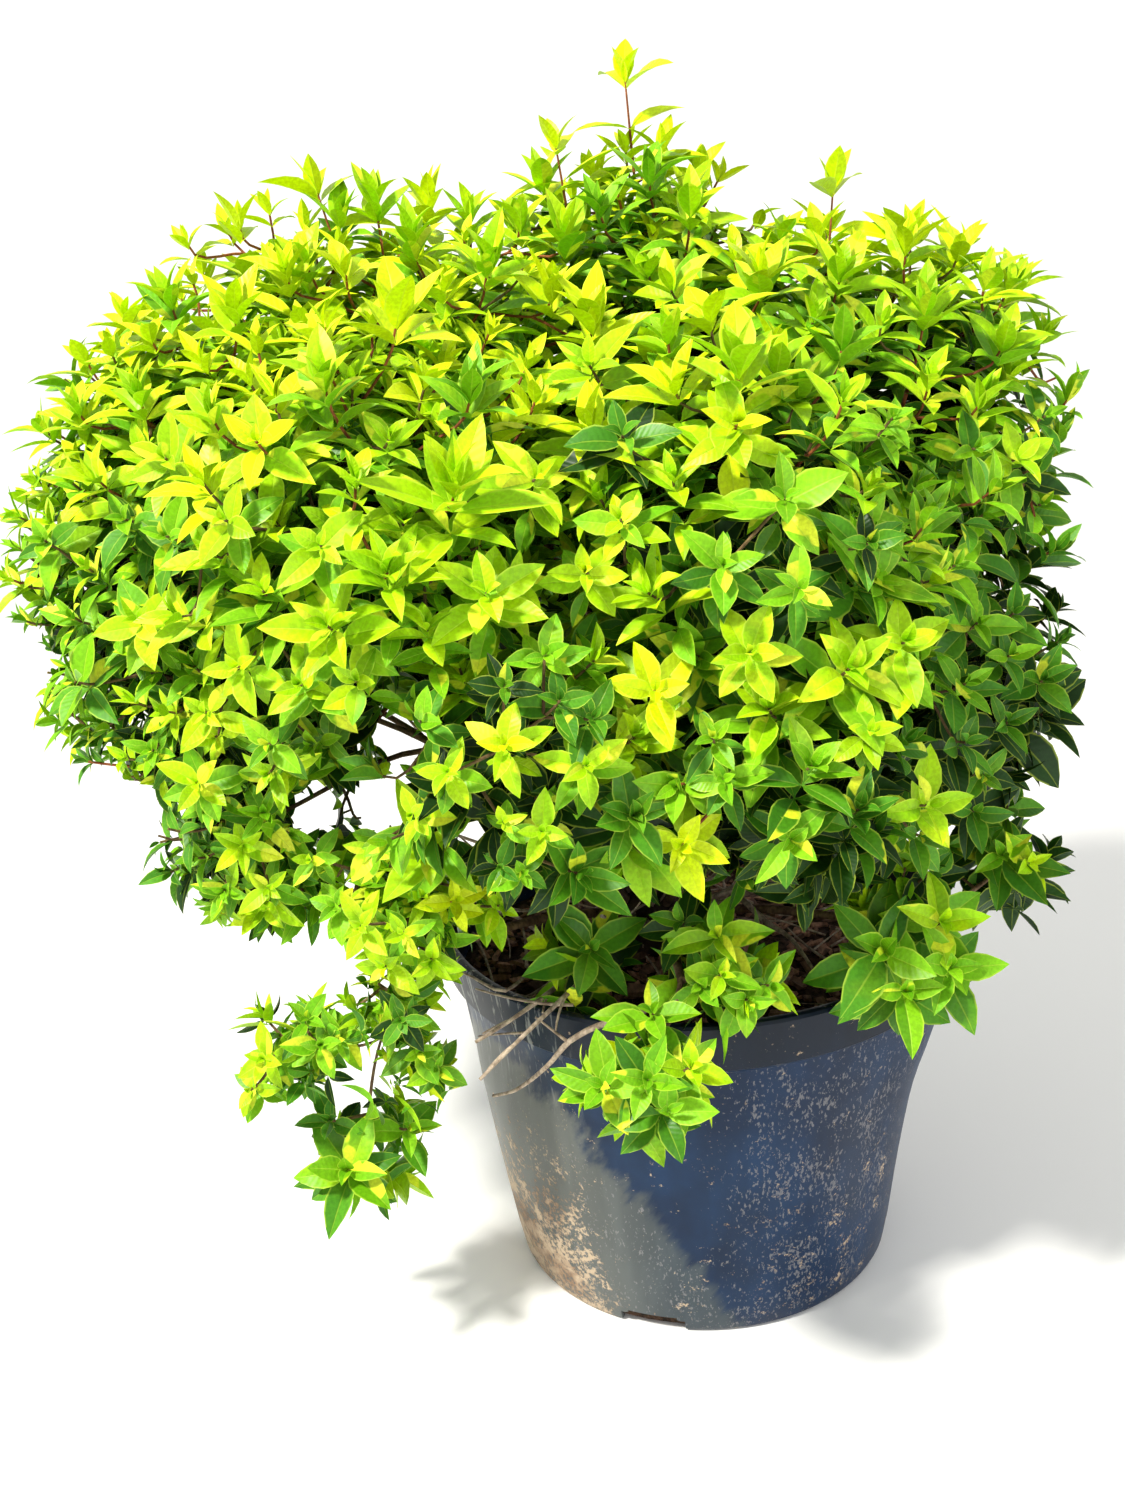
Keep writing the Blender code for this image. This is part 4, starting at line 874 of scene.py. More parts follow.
def smoothed(places):
    """A rounder line through the places, with three steps to each."""
    points = []
    for index in range(len(places) - 1):
        before, after = places[max(index - 1, 0)], places[min(index + 2, len(places) - 1)]
        start, end = places[index], places[index + 1]
        for step in range(3):
            t = step / 3
            leave, arrive = (end - before) / 2, (after - start) / 2
            points.append(start * (2 * t ** 3 - 3 * t * t + 1) + leave * (t ** 3 - 2 * t * t + t)
                          + end * (3 * t * t - 2 * t ** 3) + arrive * (t ** 3 - t * t))
    return points + [places[-1]]


class Limb:
    """A bough or a stem: points along it, and its radius at each."""

    def __init__(self, points, base_radius, tip_radius):
        self.points = points
        last = len(points) - 1
        self.radii = [base_radius + (tip_radius - base_radius) * k / last for k in range(last + 1)]

    @property
    def tip(self):
        return self.points[-1]

    @property
    def heading(self):
        return (self.points[-1] - self.points[-2]).normalized()


def plan_bough(tip, leave, arrive, radii=SHOOT_RADII):
    way, tip = direction(*leave), Vector(tip)
    span = (tip - FOOT_CENTRE).length - FOOT_RADIUS
    start = FOOT_CENTRE + way * FOOT_RADIUS * LIMB_ROOT
    leaving = start + way * span * BOUGH_BENDS[0]
    arriving = tip - direction(*arrive) * span * BOUGH_BENDS[1]
    return Limb(bezier(start, leaving, arriving, tip, BOUGH_POINTS), *radii)


def ring(prefix, rule):
    """A ring of balls in an ellipse, as {name: (place, radius)}."""
    balls = {}
    for index in range(rule["count"]):
        angle = math.radians(rule["start"] + 360 * index / rule["count"])
        place = Vector((rule["x"] + rule["rx"] * math.cos(angle), rule["ry"] * math.sin(angle),
                        rule["z"] + rule["tilt"] * math.cos(angle)))
        balls[f"{prefix}_{index + 1}"] = (place, rule["ball"])
    return balls


def crown_balls():
    balls = {**ring("skirt", SKIRT), **ring("shoulder", SHOULDER)}
    for name, (x, y, z, radius) in SINGLE_BALLS.items():
        balls[name] = (Vector((x, y, z)), radius)
    return balls


def plan_boughs():
    boughs = {}
    for index in range(SKIRT["count"]):
        turn = SKIRT["start"] + 360 * index / SKIRT["count"]
        angle = math.radians(turn)
        tip = (SKIRT["x"] + SKIRT["rx"] * RING_REACH * math.cos(angle),
               SKIRT["ry"] * RING_REACH * math.sin(angle), RING_TIP_Z)
        leave, arrive = (turn, RING_LIFTS[index % 2]), (turn, RING_ARRIVAL)
        boughs[f"bough_{index + 1}"] = plan_bough(tip, leave, arrive, MAIN_RADII)
    for name, rule in SINGLE_BOUGHS.items():
        boughs[name] = plan_bough(**rule)
    return boughs


def fork(bough, targets):
    """The limbs that leave a bough's tip and part towards their targets, as {name: place}."""
    heading = bough.heading
    start_radius = bough.radii[-1] * FORK_RADII[len(targets) > 1]
    limbs = {}
    for name, end in targets.items():
        start = bough.tip - heading * STEM_OVERLAP
        span = (end - start).length
        way = (end - start).normalized()
        leaving = start + (heading + way * STEM_AIM).normalized() * span * STEM_BENDS[0]
        points = bezier(start, leaving, end - way * span * STEM_BENDS[1], end, STEM_POINTS)
        limbs[name] = Limb(points, start_radius, STEM_TIP_RADIUS)
    return limbs


def plan_stems(balls, boughs):
    """The stem of each mass, as {name: limb}. The lower trailing bough is one branch of a fork too."""
    served = {}
    carriers = {name: bough for bough, names in CARRIERS.items() for name in names}
    for name, (centre, _) in balls.items():
        carrier = carriers.get(name, name.replace("skirt", "bough"))
        served.setdefault(carrier, {})[name] = centre
    lower = "bough_trail_lower"
    served["bough_trail_upper"][lower] = Vector(TRAIL_FORK)
    stems = fork(boughs["bough_trail_upper"], served.pop("bough_trail_upper"))
    boughs[lower] = stems.pop(lower)
    for carrier, targets in served.items():
        stems.update(fork(boughs[carrier], targets))
    return stems


# Places that foliage keeps clear of


def outer_radius(height):
    """The radius of the pot's outside at a height."""
    top = POT_HEIGHT - BAND_HEIGHT
    return np.where(height >= top, RIM_RADIUS, np.interp(height, (0, top), (BASE_RADIUS, WALL_RADIUS_TOP)))


def mulch_height(radius):
    """The height of the mulch at a distance from the pot's axis."""
    return np.interp(radius, (MULCH_FLAT_RADIUS, MULCH_SHOULDER), (MULCH_TOP, MULCH_EDGE))


def keeps_clear(places):
    """Whether each place is clear of the pot, of the mulch and of the gaps where the sky shows."""
    x, y, z = np.asarray(places, dtype=float).reshape(-1, 3).T
    radius = np.hypot(x, y)
    clear = (z > POT_HEIGHT + CLEARANCE) | (radius > outer_radius(z) + CLEARANCE)
    clear |= (radius < RIM_INNER_RADIUS - WALL - CLEARANCE) & (z > mulch_height(radius) + 2 * CLEARANCE)
    for gap_x, gap_z, gap_radius in SKY_GAPS:
        line_x = gap_x + (gap_x - SKY_MIDDLE) * SKY_FAN * y
        clear &= np.hypot(x - line_x, z - gap_z - SKY_FALL * y) > gap_radius + GAP_MARGIN
    return clear


# Foliage


def even_directions(count, dice):
    """Directions spread evenly over a ball, along a spiral."""
    golden = math.pi * (3 - math.sqrt(5))
    turn = dice.uniform(0, 2 * math.pi)
    z = 1 - 2 * (np.arange(count) + 0.5) / count
    flat = np.sqrt(1 - z * z)
    angle = golden * np.arange(count) + turn
    return np.stack((flat * np.cos(angle), flat * np.sin(angle), z), axis=1)


class Crown:
    """The crown's balls run together, so that foliage closes over the valleys between them."""

    def __init__(self, balls):
        whole = [(name, *centre, radius) for name, (centre, radius) in balls.items()]
        whole += [(name, *fill) for name, fill in FILLS]
        self.owners = [row[0] for row in whole]
        self.centres = np.array([row[1:4] for row in whole])
        self.radii = np.array([row[4] for row in whole])
        small = self.radii < SMALL_BALL
        self.groups = (~small, small)
        self.blends = np.where(small, BLENDS[1], BLENDS[0])

    def reaches(self, places):
        gaps = places[:, None, :] - self.centres[None, :, :]
        return self.radii[None, :] - np.linalg.norm(gaps, axis=2), gaps

    def depths(self, places):
        """How far each place is inside the main crown's surface, and inside the small balls'."""
        reach, _ = self.reaches(places)
        return [blend * np.log(np.exp(reach[:, group] / blend).sum(axis=1))
                for group, blend in zip(self.groups, BLENDS)]

    def holds(self, places):
        main, small = self.depths(places)
        return (main > -REACH_MARGINS[0]) | (small > -REACH_MARGINS[1])

    def outward(self, places):
        reach, gaps = self.reaches(places)
        weights = np.exp(reach / self.blends)[:, :, None]
        ways = (weights * gaps / np.linalg.norm(gaps, axis=2)[:, :, None]).sum(axis=1)
        return ways / np.linalg.norm(ways, axis=1, keepdims=True)

    def layer(self, index, depth, scatter, spacing, dice):
        """Places of one ball's own that lie about so deep under the crown's surface."""
        centre, radius = self.centres[index], self.radii[index]
        count = round(4 * math.pi * radius ** 2 / (spacing * SPOT_SPACING) ** 2)
        aims = even_directions(count, dice)
        steps = SPOT_STEPS * radius
        line = centre + aims[:, None, :] * steps[None, :, None]
        depths = np.maximum(*self.depths(line.reshape(-1, 3))).reshape(count, -1)
        sink = SMALL_BALL_SINK if radius < SMALL_BALL else 0.0
        wanted = np.array([depth + sink + dice.uniform(-scatter, scatter) for _ in range(count)])
        out = depths < wanted[:, None]
        places = line[np.arange(count), out.argmax(axis=1)]
        reach, _ = self.reaches(places)
        own = out.any(axis=1) & ~out[:, 0] & (reach.argmax(axis=1) == index) & keeps_clear(places)
        return places[own]


def low_light(place):
    """More light for the sprays that hang low and for the left, and less under the middle of the crown."""
    if place.z < LOW_HEIGHTS[0]:
        return LOW_LIGHTS[0]
    if place.z < LOW_HEIGHTS[1]:
        return LOW_LIGHTS[1] if place.x < -0.14 else LOW_LIGHTS[2]
    return 0.0


def sunlight(place, out):
    """How much sun a shoot gets, painted into the tone of its leaves: most at the top left, least low on the
    right.
    """
    height = min(max((place.z - LIT_FROM) / LIT_WITHIN, 0.0), 1.0)
    side = min(max((RIGHT_SIDE - place.x) / SIDE_WIDTH, 0.0), SIDE_LIMIT)
    shaded = max(place.x - SHADE_EDGE, 0.0) * (1 - height) * SHADE_DEPTH
    edge = max(LEFT_EDGE - place.x, 0.0) * LEFT_DEPTH
    weighed = SUN_WEIGHTS[0] * height + SUN_WEIGHTS[1] * side + SUN_WEIGHTS[2] * out.z
    return weighed + low_light(place) - shaded - edge - 0.01


def tone_for(sun):
    """The tone of leaves in so much sun."""
    for tone, least in TONE_LIMITS:
        if sun > least:
            return tone
    return "deep"


def sight(photo_x, photo_y):
    """The way from the camera through a point of the photograph."""
    a, b = photo_x - PHOTO_WIDTH / 2, photo_y - PHOTO_HEIGHT / 2
    right = (a * ROLL_COSINE - b * ROLL_SINE) / FOCAL_PIXELS
    down = (a * ROLL_SINE + b * ROLL_COSINE) / FOCAL_PIXELS
    way = np.array((right, PITCH_COSINE - down * PITCH_SINE, -PITCH_SINE - down * PITCH_COSINE))
    return way / np.linalg.norm(way)


def shown_shoots(crown):
    """Mass, place, tone, leaf length and look of the shoots of SHOWN, in the order of their masses.

    A shoot stands where the line of sight enters the crown, to a millimetre.
    """
    ahead = np.array((0.0, PITCH_COSINE, -PITCH_SINE))
    shoots = []
    for photo_x, photo_y, tone, photo_length, look in SHOWN:
        line = np.array(CAMERA_PLACE) + SIGHT_STEPS[:, None] * sight(photo_x, photo_y)
        main, small = crown.depths(line)
        inside = np.maximum(main - SIGHT_DEPTHS[0], small - SIGHT_DEPTHS[1])
        spot = line[np.argmax(inside > 0) if (inside > 0).any() else np.argmax(inside)]
        reach, _ = crown.reaches(spot[None, :])
        name = crown.owners[int(reach[0].argmax())]
        length = photo_length / FOCAL_PIXELS * float((spot - CAMERA_PLACE) @ ahead) * look["stretch"]
        place = Vector([round(float(value), 3) for value in spot])
        shoots.append((name, place, tone, round(length, 3), look))
    return sorted(shoots, key=lambda shoot: crown.owners.index(shoot[0]))


class Foliage:
    """All the twigs and leaves of the crown."""

    def __init__(self, balls, stems):
        self.balls = balls
        self.stems = stems
        self.crown = Crown(balls)
        self.twigs = Tubes()
        self.red_twigs = Tubes()
        self.leaves = {tone: Leaves() for tone in LEAF_TONES}
        self.nodes = {name: self.stem_nodes(name) for name in balls}
        self.shown = np.empty((0, 3))

    def stem_nodes(self, name):
        centre, radius = self.balls[name]
        inside = [(point, 0.0) for point in self.stems[name].points if (point - centre).length < radius]
        return inside or [(self.stems[name].tip, 0.0)]

    def grow_shoot(self, tip, axis, tone, length, dice, whorls, free=False, widths=LEAF_WIDTHS):
        """Whorls of leaves back from the tip of a shoot, the inner ones upright and the outer ones spread."""
        side = axis.orthogonal().normalized()
        turn = dice.uniform(0, 2 * math.pi)
        for rank, (back, leaves, spread, share) in enumerate(whorls):
            count = leaves + (rank > 1 and dice.random() < EXTRA_LEAF_CHANCE)
            turn += math.pi / count + dice.uniform(-0.2, 0.2)
            own = OLDER[tone] if dice.random() < OLDER_CHANCES[rank] else tone
            own = OLDER[own] if rank > 4 else own
            for index in range(count):
                angle = turn + 2 * math.pi * index / count + dice.uniform(-0.22, 0.22)
                tilt = math.radians(spread + dice.uniform(-14, 14))
                out = Matrix.Rotation(angle, 3, axis) @ side
                way = axis * math.cos(tilt) + out * math.sin(tilt)
                reach = length * share * dice.uniform(*LENGTH_SCATTER)
                curl = math.radians(dice.uniform(*LEAF_CURLS))
                fold = math.radians(dice.uniform(*LEAF_FOLDS))
                width = dice.uniform(*widths)
                twist = math.radians(dice.gauss(0, LEAF_TWIST))
                self.leaves[own].add(tip - axis * back, way, axis, reach, width, curl, fold, twist, free)

    def grow_shown(self):
        """The shoots that have a place of their own."""
        dice = random.Random(SEED + 4)
        for name, place, tone, length, look in shown_shoots(self.crown):
            out = Vector(self.crown.outward(np.array([place]))[0])
            axis = out * look["out"] + FRONT * look["front"] + Vector((0, 0, look["up"]))
            axis = (axis + Vector([dice.uniform(-0.12, 0.12) for _ in range(3)])).normalized()
            if self.grow_twig(name, place, axis, tone == "gold" or look is FLAME):
                self.grow_shoot(place, axis, tone, length, dice, look["whorls"], True, look["widths"])
                self.shown = np.vstack((self.shown, place))

    def grow_layer(self, rule):
        """One layer of shoots over the whole crown, each at least the spacing from the others."""
        dice = random.Random(f"{SEED} {rule['depth']}")
        spots = []
        for index, name in enumerate(self.crown.owners):
            spacing = rule["spacing"] * LEAF_SIZES.get(name, 1.0)
            centre, radius = self.balls[name]
            if rule["shade"] and radius < SMALL_BALL:
                continue
            for place in self.crown.layer(index, rule["depth"], rule["scatter"], spacing, dice):
                whole = radius > SMALL_BALL or name in DENSE_SMALL_BALLS
                low = name in OPEN_BELOW and place[2] < centre.z
                if whole or (place[1] > centre.y and not low):
                    spots.append((name, place, spacing))
        dice.shuffle(spots)
        taken = np.empty((0, 3)) if rule["shade"] else self.shown
        chosen = [None] * len(taken)
        for name, place, spacing in spots:
            if len(taken) and np.linalg.norm(taken - place, axis=1).min() < spacing:
                continue
            taken = np.vstack((taken, place))
            chosen.append(name)
        for name, place, out in zip(chosen, taken, self.crown.outward(taken)):
            if name is not None:
                self.grow_spray(name, Vector(place), Vector(out), rule["shade"], dice)

    def grow_spray(self, name, place, out, shade, dice):
        """A twig with a shoot at its tip, in the tone for its sunlight; now and then it leads the others."""
        rise = SPRAY_RISES[place.z >= LOW_HEIGHTS[0]]
        scatter = Vector([dice.uniform(-SPRAY_SCATTER, SPRAY_SCATTER) for _ in range(3)])
        axis = (out * SPRAY_OUT + Vector((0, 0, rise)) + scatter).normalized()
        sun = sunlight(place, out) - shade + (SMALL_BALL_SUN if self.balls[name][1] < SMALL_BALL else 0.0)
        tone = tone_for(sun + dice.gauss(0, TONE_SCATTER))
        length = LEAF_LENGTH * dice.uniform(*SHOOT_SIZES) * LEAF_SIZES.get(name, 1.0)
        leader = not shade and place.z > LEADER_HEIGHT and dice.random() < LEADER_SHARE
        if leader:
            place = place + axis * LEADER_RISE
        if not self.grow_twig(name, place, axis, leader or (tone == "gold" and dice.random() < YOUNG_SHARE)):
            return
        widths = NARROW_WIDTHS if place.z > 0.52 or place.x < -0.24 else LEAF_WIDTHS
        whorls = LEADER_WHORLS if leader else SHOOT_WHORLS
        self.grow_shoot(place, axis, tone, length, dice, whorls, leader, widths)

    def grow_twig(self, name, place, axis, young):
        """A twig from the nearest node of the mass to a place, unless it would cross a gap."""
        nodes = self.nodes[name]
        parent, run = min(nodes, key=lambda node: (node[0] - place).length + node[1] * TWIG_THRIFT)
        span = (place - parent).length
        leaving = parent + (place - parent).normalized() * span * TWIG_BENDS[0]
        points = bezier(parent, leaving, place - axis * span * TWIG_BENDS[1], place, 6)
        if not keeps_clear([tuple(point) for point in points[1:]]).all():
            return False
        base = TWIG_RADII[0] * (1 - 0.25 * min(run / 0.12, 1.0))
        radii = [base + (TWIG_RADII[1] - base) * k / 5 for k in range(6)]
        (self.red_twigs if young else self.twigs).add(points, radii, 5)
        for share in (2, 3):
            nodes.append((points[share], run + span * share / 5))
        return True

    def grow_spike(self, name, foot, tip, dice):
        """A long young shoot with pairs of leaves far apart."""
        foot, tip = Vector(foot), Vector(tip)
        parent, _ = min(self.nodes[name], key=lambda node: (node[0] - foot).length)
        axis = (tip - foot).normalized()
        points = bezier(parent, parent.lerp(foot, 0.5), foot - axis * 0.01, foot, 5)
        points += [foot.lerp(tip, share) for share in (0.33, 0.66, 1.0)]
        self.red_twigs.add(points, [0.0014 - 0.0008 * k / 7 for k in range(8)], 6)
        span = (tip - foot).length
        whorls = SPIKE_WHORLS + tuple((share * span, *rest) for share, *rest in SPIKE_PAIRS)
        self.grow_shoot(tip - axis * 0.008, axis, "gold", LEAF_LENGTH, dice, whorls, True)


# Pot, mulch and foot


def pot_profile():
    """The pot's section as radii and heights, from the mouth down the outside and up the inside."""
    band_foot = POT_HEIGHT - BAND_HEIGHT
    wall_top = band_foot - BAND_STEP
    outside = [
        (RIM_INNER_RADIUS + 0.0015, POT_HEIGHT - 0.0004), (RIM_INNER_RADIUS + 0.0030, POT_HEIGHT),
        (RIM_RADIUS - 0.0030, POT_HEIGHT), (RIM_RADIUS - 0.0012, POT_HEIGHT - 0.0006),
    ]
    for share in (0, 0.25, 0.5, 0.75, 1.0):
        height = POT_HEIGHT - RIM_EDGE - (BAND_HEIGHT - BAND_STEP) * share
        outside.append((RIM_RADIUS - BAND_DRAFT * share, height))
    outside += [(RIM_RADIUS - 0.0030, band_foot + 0.0006), (RIM_RADIUS - 0.0060, band_foot - 0.0008)]
    for step in range(WALL_STEPS):
        height = wall_top * (1 - step / WALL_STEPS) + WALL_FOOT * step / WALL_STEPS
        outside.append((outer_radius(height), height))
    outside += [(BASE_RADIUS - 0.0002, 0.0045), (BASE_RADIUS - 0.0018, 0.0014), (BASE_RADIUS - 0.0045, 0.0)]
    outside += [(BASE_RADIUS * 0.5, 0.0), (0.0, 0.0)]
    inside = [(0.0, FLOOR), (BASE_RADIUS - WALL - 0.002, FLOOR)]
    inside += [(outer_radius(height) - WALL, height) for height in (0.03, 0.07, 0.11, 0.14, 0.17, 0.20)]
    inside += [(WALL_RADIUS_TOP - WALL, band_foot), (RIM_INNER_RADIUS, POT_HEIGHT - LIP_DEPTH)]
    return outside + inside


def dented(corner):
    """The place moved in or out by the dents and slight waves of the pot's wall."""
    radius = math.hypot(corner.x, corner.y)
    if radius < 0.12 or corner.z < 0.012:
        return corner
    angle = math.degrees(math.atan2(corner.y, corner.x))
    height = corner.z / POT_HEIGHT
    push = noise.noise(Vector((corner.x * 9, corner.y * 9, corner.z * 7))) * WAVES
    for depth, azimuth, spread, level, reach in DENTS:
        across = math.exp(-((angle - azimuth) / spread) ** 2)
        push += depth * across * math.exp(-((height - level) / reach) ** 2)
    push *= min(height * 4, 1.0)
    return Vector((corner.x * (1 + push / radius), corner.y * (1 + push / radius), corner.z))


def pot_shell():
    """The turned shell of the pot, closed through its thickness."""
    work = bmesh.new()
    rings = [[work.verts.new(place) for place in circle(radius, height, POT_STEPS if radius else 1)]
             for radius, height in pot_profile()]
    for first, second in zip(rings, rings[1:] + rings[:1]):
        for k in range(POT_STEPS):
            after = (k + 1) % POT_STEPS
            cell = [first[k % len(first)], first[after % len(first)],
                    second[after % len(second)], second[k % len(second)]]
            cell = list(dict.fromkeys(cell))
            if len(cell) > 2:
                work.faces.new(cell)
    for corner in work.verts:
        corner.co = dented(corner.co)
    bmesh.ops.recalc_face_normals(work, faces=work.faces)
    return mesh_of(work, "pot_shell")


def drain_block(angle):
    """The block that a drain slot takes out of the wall's foot, rounded along its length."""
    work = bmesh.new()
    bmesh.ops.create_cube(work, size=1.0)
    along = [edge for edge in work.edges if abs(edge.verts[0].co.x - edge.verts[1].co.x) > 0.5]
    bmesh.ops.bevel(work, geom=along, offset=0.12, segments=3, affect="EDGES")
    size = Matrix.Diagonal((DRAIN_DEPTH, DRAIN_WIDTH, 2 * DRAIN_HEIGHT, 1.0))
    place = Matrix.Rotation(angle, 4, "Z") @ Matrix.Translation((BASE_RADIUS, 0.0, 0.0))
    bmesh.ops.transform(work, matrix=place @ size, verts=work.verts)
    return mesh_of(work, "drain")


def make_pot(material):
    """The pot with its drain slots cut out."""
    shell = add_object("pot_cut", pot_shell())
    cutters = [add_object("drain", drain_block(angle)) for angle in DRAIN_ANGLES]
    for cutter in cutters:
        cut = shell.modifiers.new("Drain", "BOOLEAN")
        cut.operation = "DIFFERENCE"
        cut.object = cutter
    graph = bpy.context.evaluated_depsgraph_get()
    graph.update()
    final = bpy.data.meshes.new_from_object(shell.evaluated_get(graph))
    for item in cutters + [shell]:
        bpy.data.objects.remove(item, do_unlink=True)
    final.shade_smooth()
    final.set_sharp_from_angle(angle=math.radians(32))
    add_piece("nursery_pot", final, material, ["pot"])


def make_soil(edge, material):
    """A crumbly bed of potting mix that fills the pot."""
    work = bmesh.new()
    circles = []
    for index in range(1, SOIL_RINGS + 1):
        radius = edge * index / SOIL_RINGS
        places = []
        for x, y, _ in circle(radius, 0.0, SOIL_STEPS):
            rough = noise.fractal(Vector((x, y, 0)) * 60, 0.8, 2.1, 5) * SOIL_CRUMBS
            places.append((x, y, mulch_height(radius) - SOIL_SINK + rough))
        circles.append(places)
    for height in SOIL_HEIGHTS:
        circles.append(circle(float(outer_radius(height)) - WALL - 0.0012, height, SOIL_STEPS))
    last = [work.verts.new((0, 0, MULCH_TOP - 0.004))]
    for places in circles:
        row = [work.verts.new(place) for place in places]
        for k in range(SOIL_STEPS):
            after = (k + 1) % SOIL_STEPS
            cell = (last[k % len(last)], row[k], row[after], last[after % len(last)])
            work.faces.new(list(dict.fromkeys(cell)))
        last = row
    work.faces.new(list(reversed(last)))
    for corner in work.verts:
        corner.co = dented(corner.co)
    bmesh.ops.recalc_face_normals(work, faces=work.faces)
    mesh = mesh_of(work, "potting_mix")
    mesh.shade_smooth()
    add_piece("potting_mix", mesh, material, ["mulch"])


def make_chips(edge, material):
    """Bark chips that lie on the potting mix."""
    dice = random.Random(SEED)
    work = bmesh.new()
    for _ in range(CHIPS):
        radius, x, y = scattered(dice, edge * CHIP_REACH)
        made = bmesh.ops.create_cube(work, size=1.0)["verts"]
        size = Vector([dice.uniform(*limits) for limits in CHIP_SIZES])
        size *= BIG_CHIP if dice.random() < BIG_CHIP_SHARE else 1.0
        size.x = min(size.x, 2 * (edge - radius) + 0.004)
        for corner in made:
            worn = [part * length * dice.uniform(*CHIP_WEAR) for part, length in zip(corner.co, size)]
            corner.co = Vector(worn)
        lean = Matrix.Rotation(dice.gauss(0, 0.28), 4, "X") @ Matrix.Rotation(dice.gauss(0, 0.22), 4, "Y")
        place = Matrix.Translation((x, y, mulch_height(radius) - dice.uniform(*CHIP_SINKS)))
        turn = Matrix.Rotation(dice.uniform(0, math.pi), 4, "Z")
        bmesh.ops.transform(work, matrix=place @ turn @ lean, verts=made)
    add_piece("bark_chips", mesh_of(work, "bark_chips"), material)


def make_foot(material):
    """A knotty crown from which the stems leave."""
    work = bmesh.new()
    bmesh.ops.create_icosphere(work, subdivisions=4, radius=1.0)
    for corner in work.verts:
        way = corner.co.normalized()
        bulge = 0.93 + 0.10 * noise.fractal(way * 2.3, 0.9, 2.0, 4)
        place = FOOT_CENTRE + way * FOOT_RADIUS * bulge
        place.z = max(place.z, FOOT_LOW.z - 0.004)
        corner.co = place
    mesh = mesh_of(work, "stem_crown")
    mesh.shade_smooth()
    add_piece("stem_crown", mesh, material, ["foot"])


def make_limbs(boughs, stems, bark, shoot_bark):
    """The main boughs in one piece, and the slender ones with all the stems in another."""
    dice = random.Random(SEED + 1)
    old, young = Tubes(), Tubes()
    old_nodes, young_nodes = [], []
    for name, limb in boughs.items():
        if name in BARE_SHOOTS:
            continue
        thick = limb.radii[0] >= MAIN_RADII[0]
        (old_nodes if thick else young_nodes).append(name)
        knots = [1 + 0.10 * noise.noise(point * 60) for point in limb.points]
        radii = [radius * knot for radius, knot in zip(limb.radii, knots)]
        (old if thick else young).add(limb.points, radii, LIMB_SIDES, 0.07, dice)
    for limb in stems.values():
        young.add(limb.points, limb.radii, 8, 0.04, dice)
    add_piece("main_boughs", old.mesh("main_boughs"), bark, old_nodes)
    add_piece("slender_stems", young.mesh("slender_stems"), shoot_bark, young_nodes)


def make_bare_twigs(boughs, material):
    """The bare shoots over the rim with thin forks, and dry stems that rise from the foot inside the pot."""
    dice = random.Random(SEED + 3)
    tubes = Tubes()

    def add(start, way, length, radius, rise, sides=6):
        way = way.normalized()
        side = way.cross(Vector((0, 0, 1))).normalized() * dice.uniform(-0.25, 0.25)
        points = [start + (way + (side + Vector((0, 0, rise))) * share) * length * share
                  for share in (0, 0.2, 0.4, 0.6, 0.8, 1.0)]
        if keeps_clear([tuple(point) for point in points[2:]]).all():
            tubes.add(points, [radius * (1 - 0.09 * k) for k in range(6)], sides, 0.08, dice)
        return points

    for name in BARE_SHOOTS:
        limb = boughs[name]
        tubes.add(limb.points, [radius * 0.9 for radius in limb.radii], 8, 0.06, dice)
        for share, turn in BARE_FORKS:
            k = round(share * (len(limb.points) - 1))
            way = Matrix.Rotation(math.radians(turn), 3, "Z") @ (limb.points[k + 1] - limb.points[k])
            add(limb.points[k], way, dice.uniform(0.018, 0.030), 0.0011, -0.10)
    for radius, places in LYING_TWIGS:
        points = smoothed([Vector(place) for place in places])
        radii = [radius * (1 - 0.55 * k / (len(points) - 1)) for k in range(len(points))]
        tubes.add(points, radii, 7, 0.10, dice)
    for index in range(DRY_STEMS):
        way = direction(360 * index / DRY_STEMS + dice.uniform(-9, 9), dice.uniform(*DRY_STEM_LIFTS))
        points = add(FOOT_CENTRE + way * FOOT_RADIUS * LIMB_ROOT, way, dice.uniform(*DRY_STEM_LENGTHS),
                     dice.uniform(*DRY_STEM_RADII), dice.uniform(0.0, 0.5))
        turned = Matrix.Rotation(dice.uniform(-0.7, 0.7), 3, "Z") @ (points[4] - points[3])
        add(points[3], turned, dice.uniform(0.03, 0.06), 0.0009, 0.15)
    for _ in range(FALLEN_TWIGS):
        radius, x, y = scattered(dice, FALLEN_REACH)
        start = Vector((x, y, float(mulch_height(radius)) + dice.uniform(*FALLEN_RISES)))
        way = direction(dice.uniform(0, 360), dice.uniform(*FALLEN_LIFTS))
        length, radius = dice.uniform(*FALLEN_LENGTHS), dice.uniform(*FALLEN_RADII)
        add(start, way, length, radius, dice.uniform(-0.1, 0.2), 5)
    add_piece("bare_twigs", tubes.mesh("bare_twigs"), material, BARE_SHOOTS)


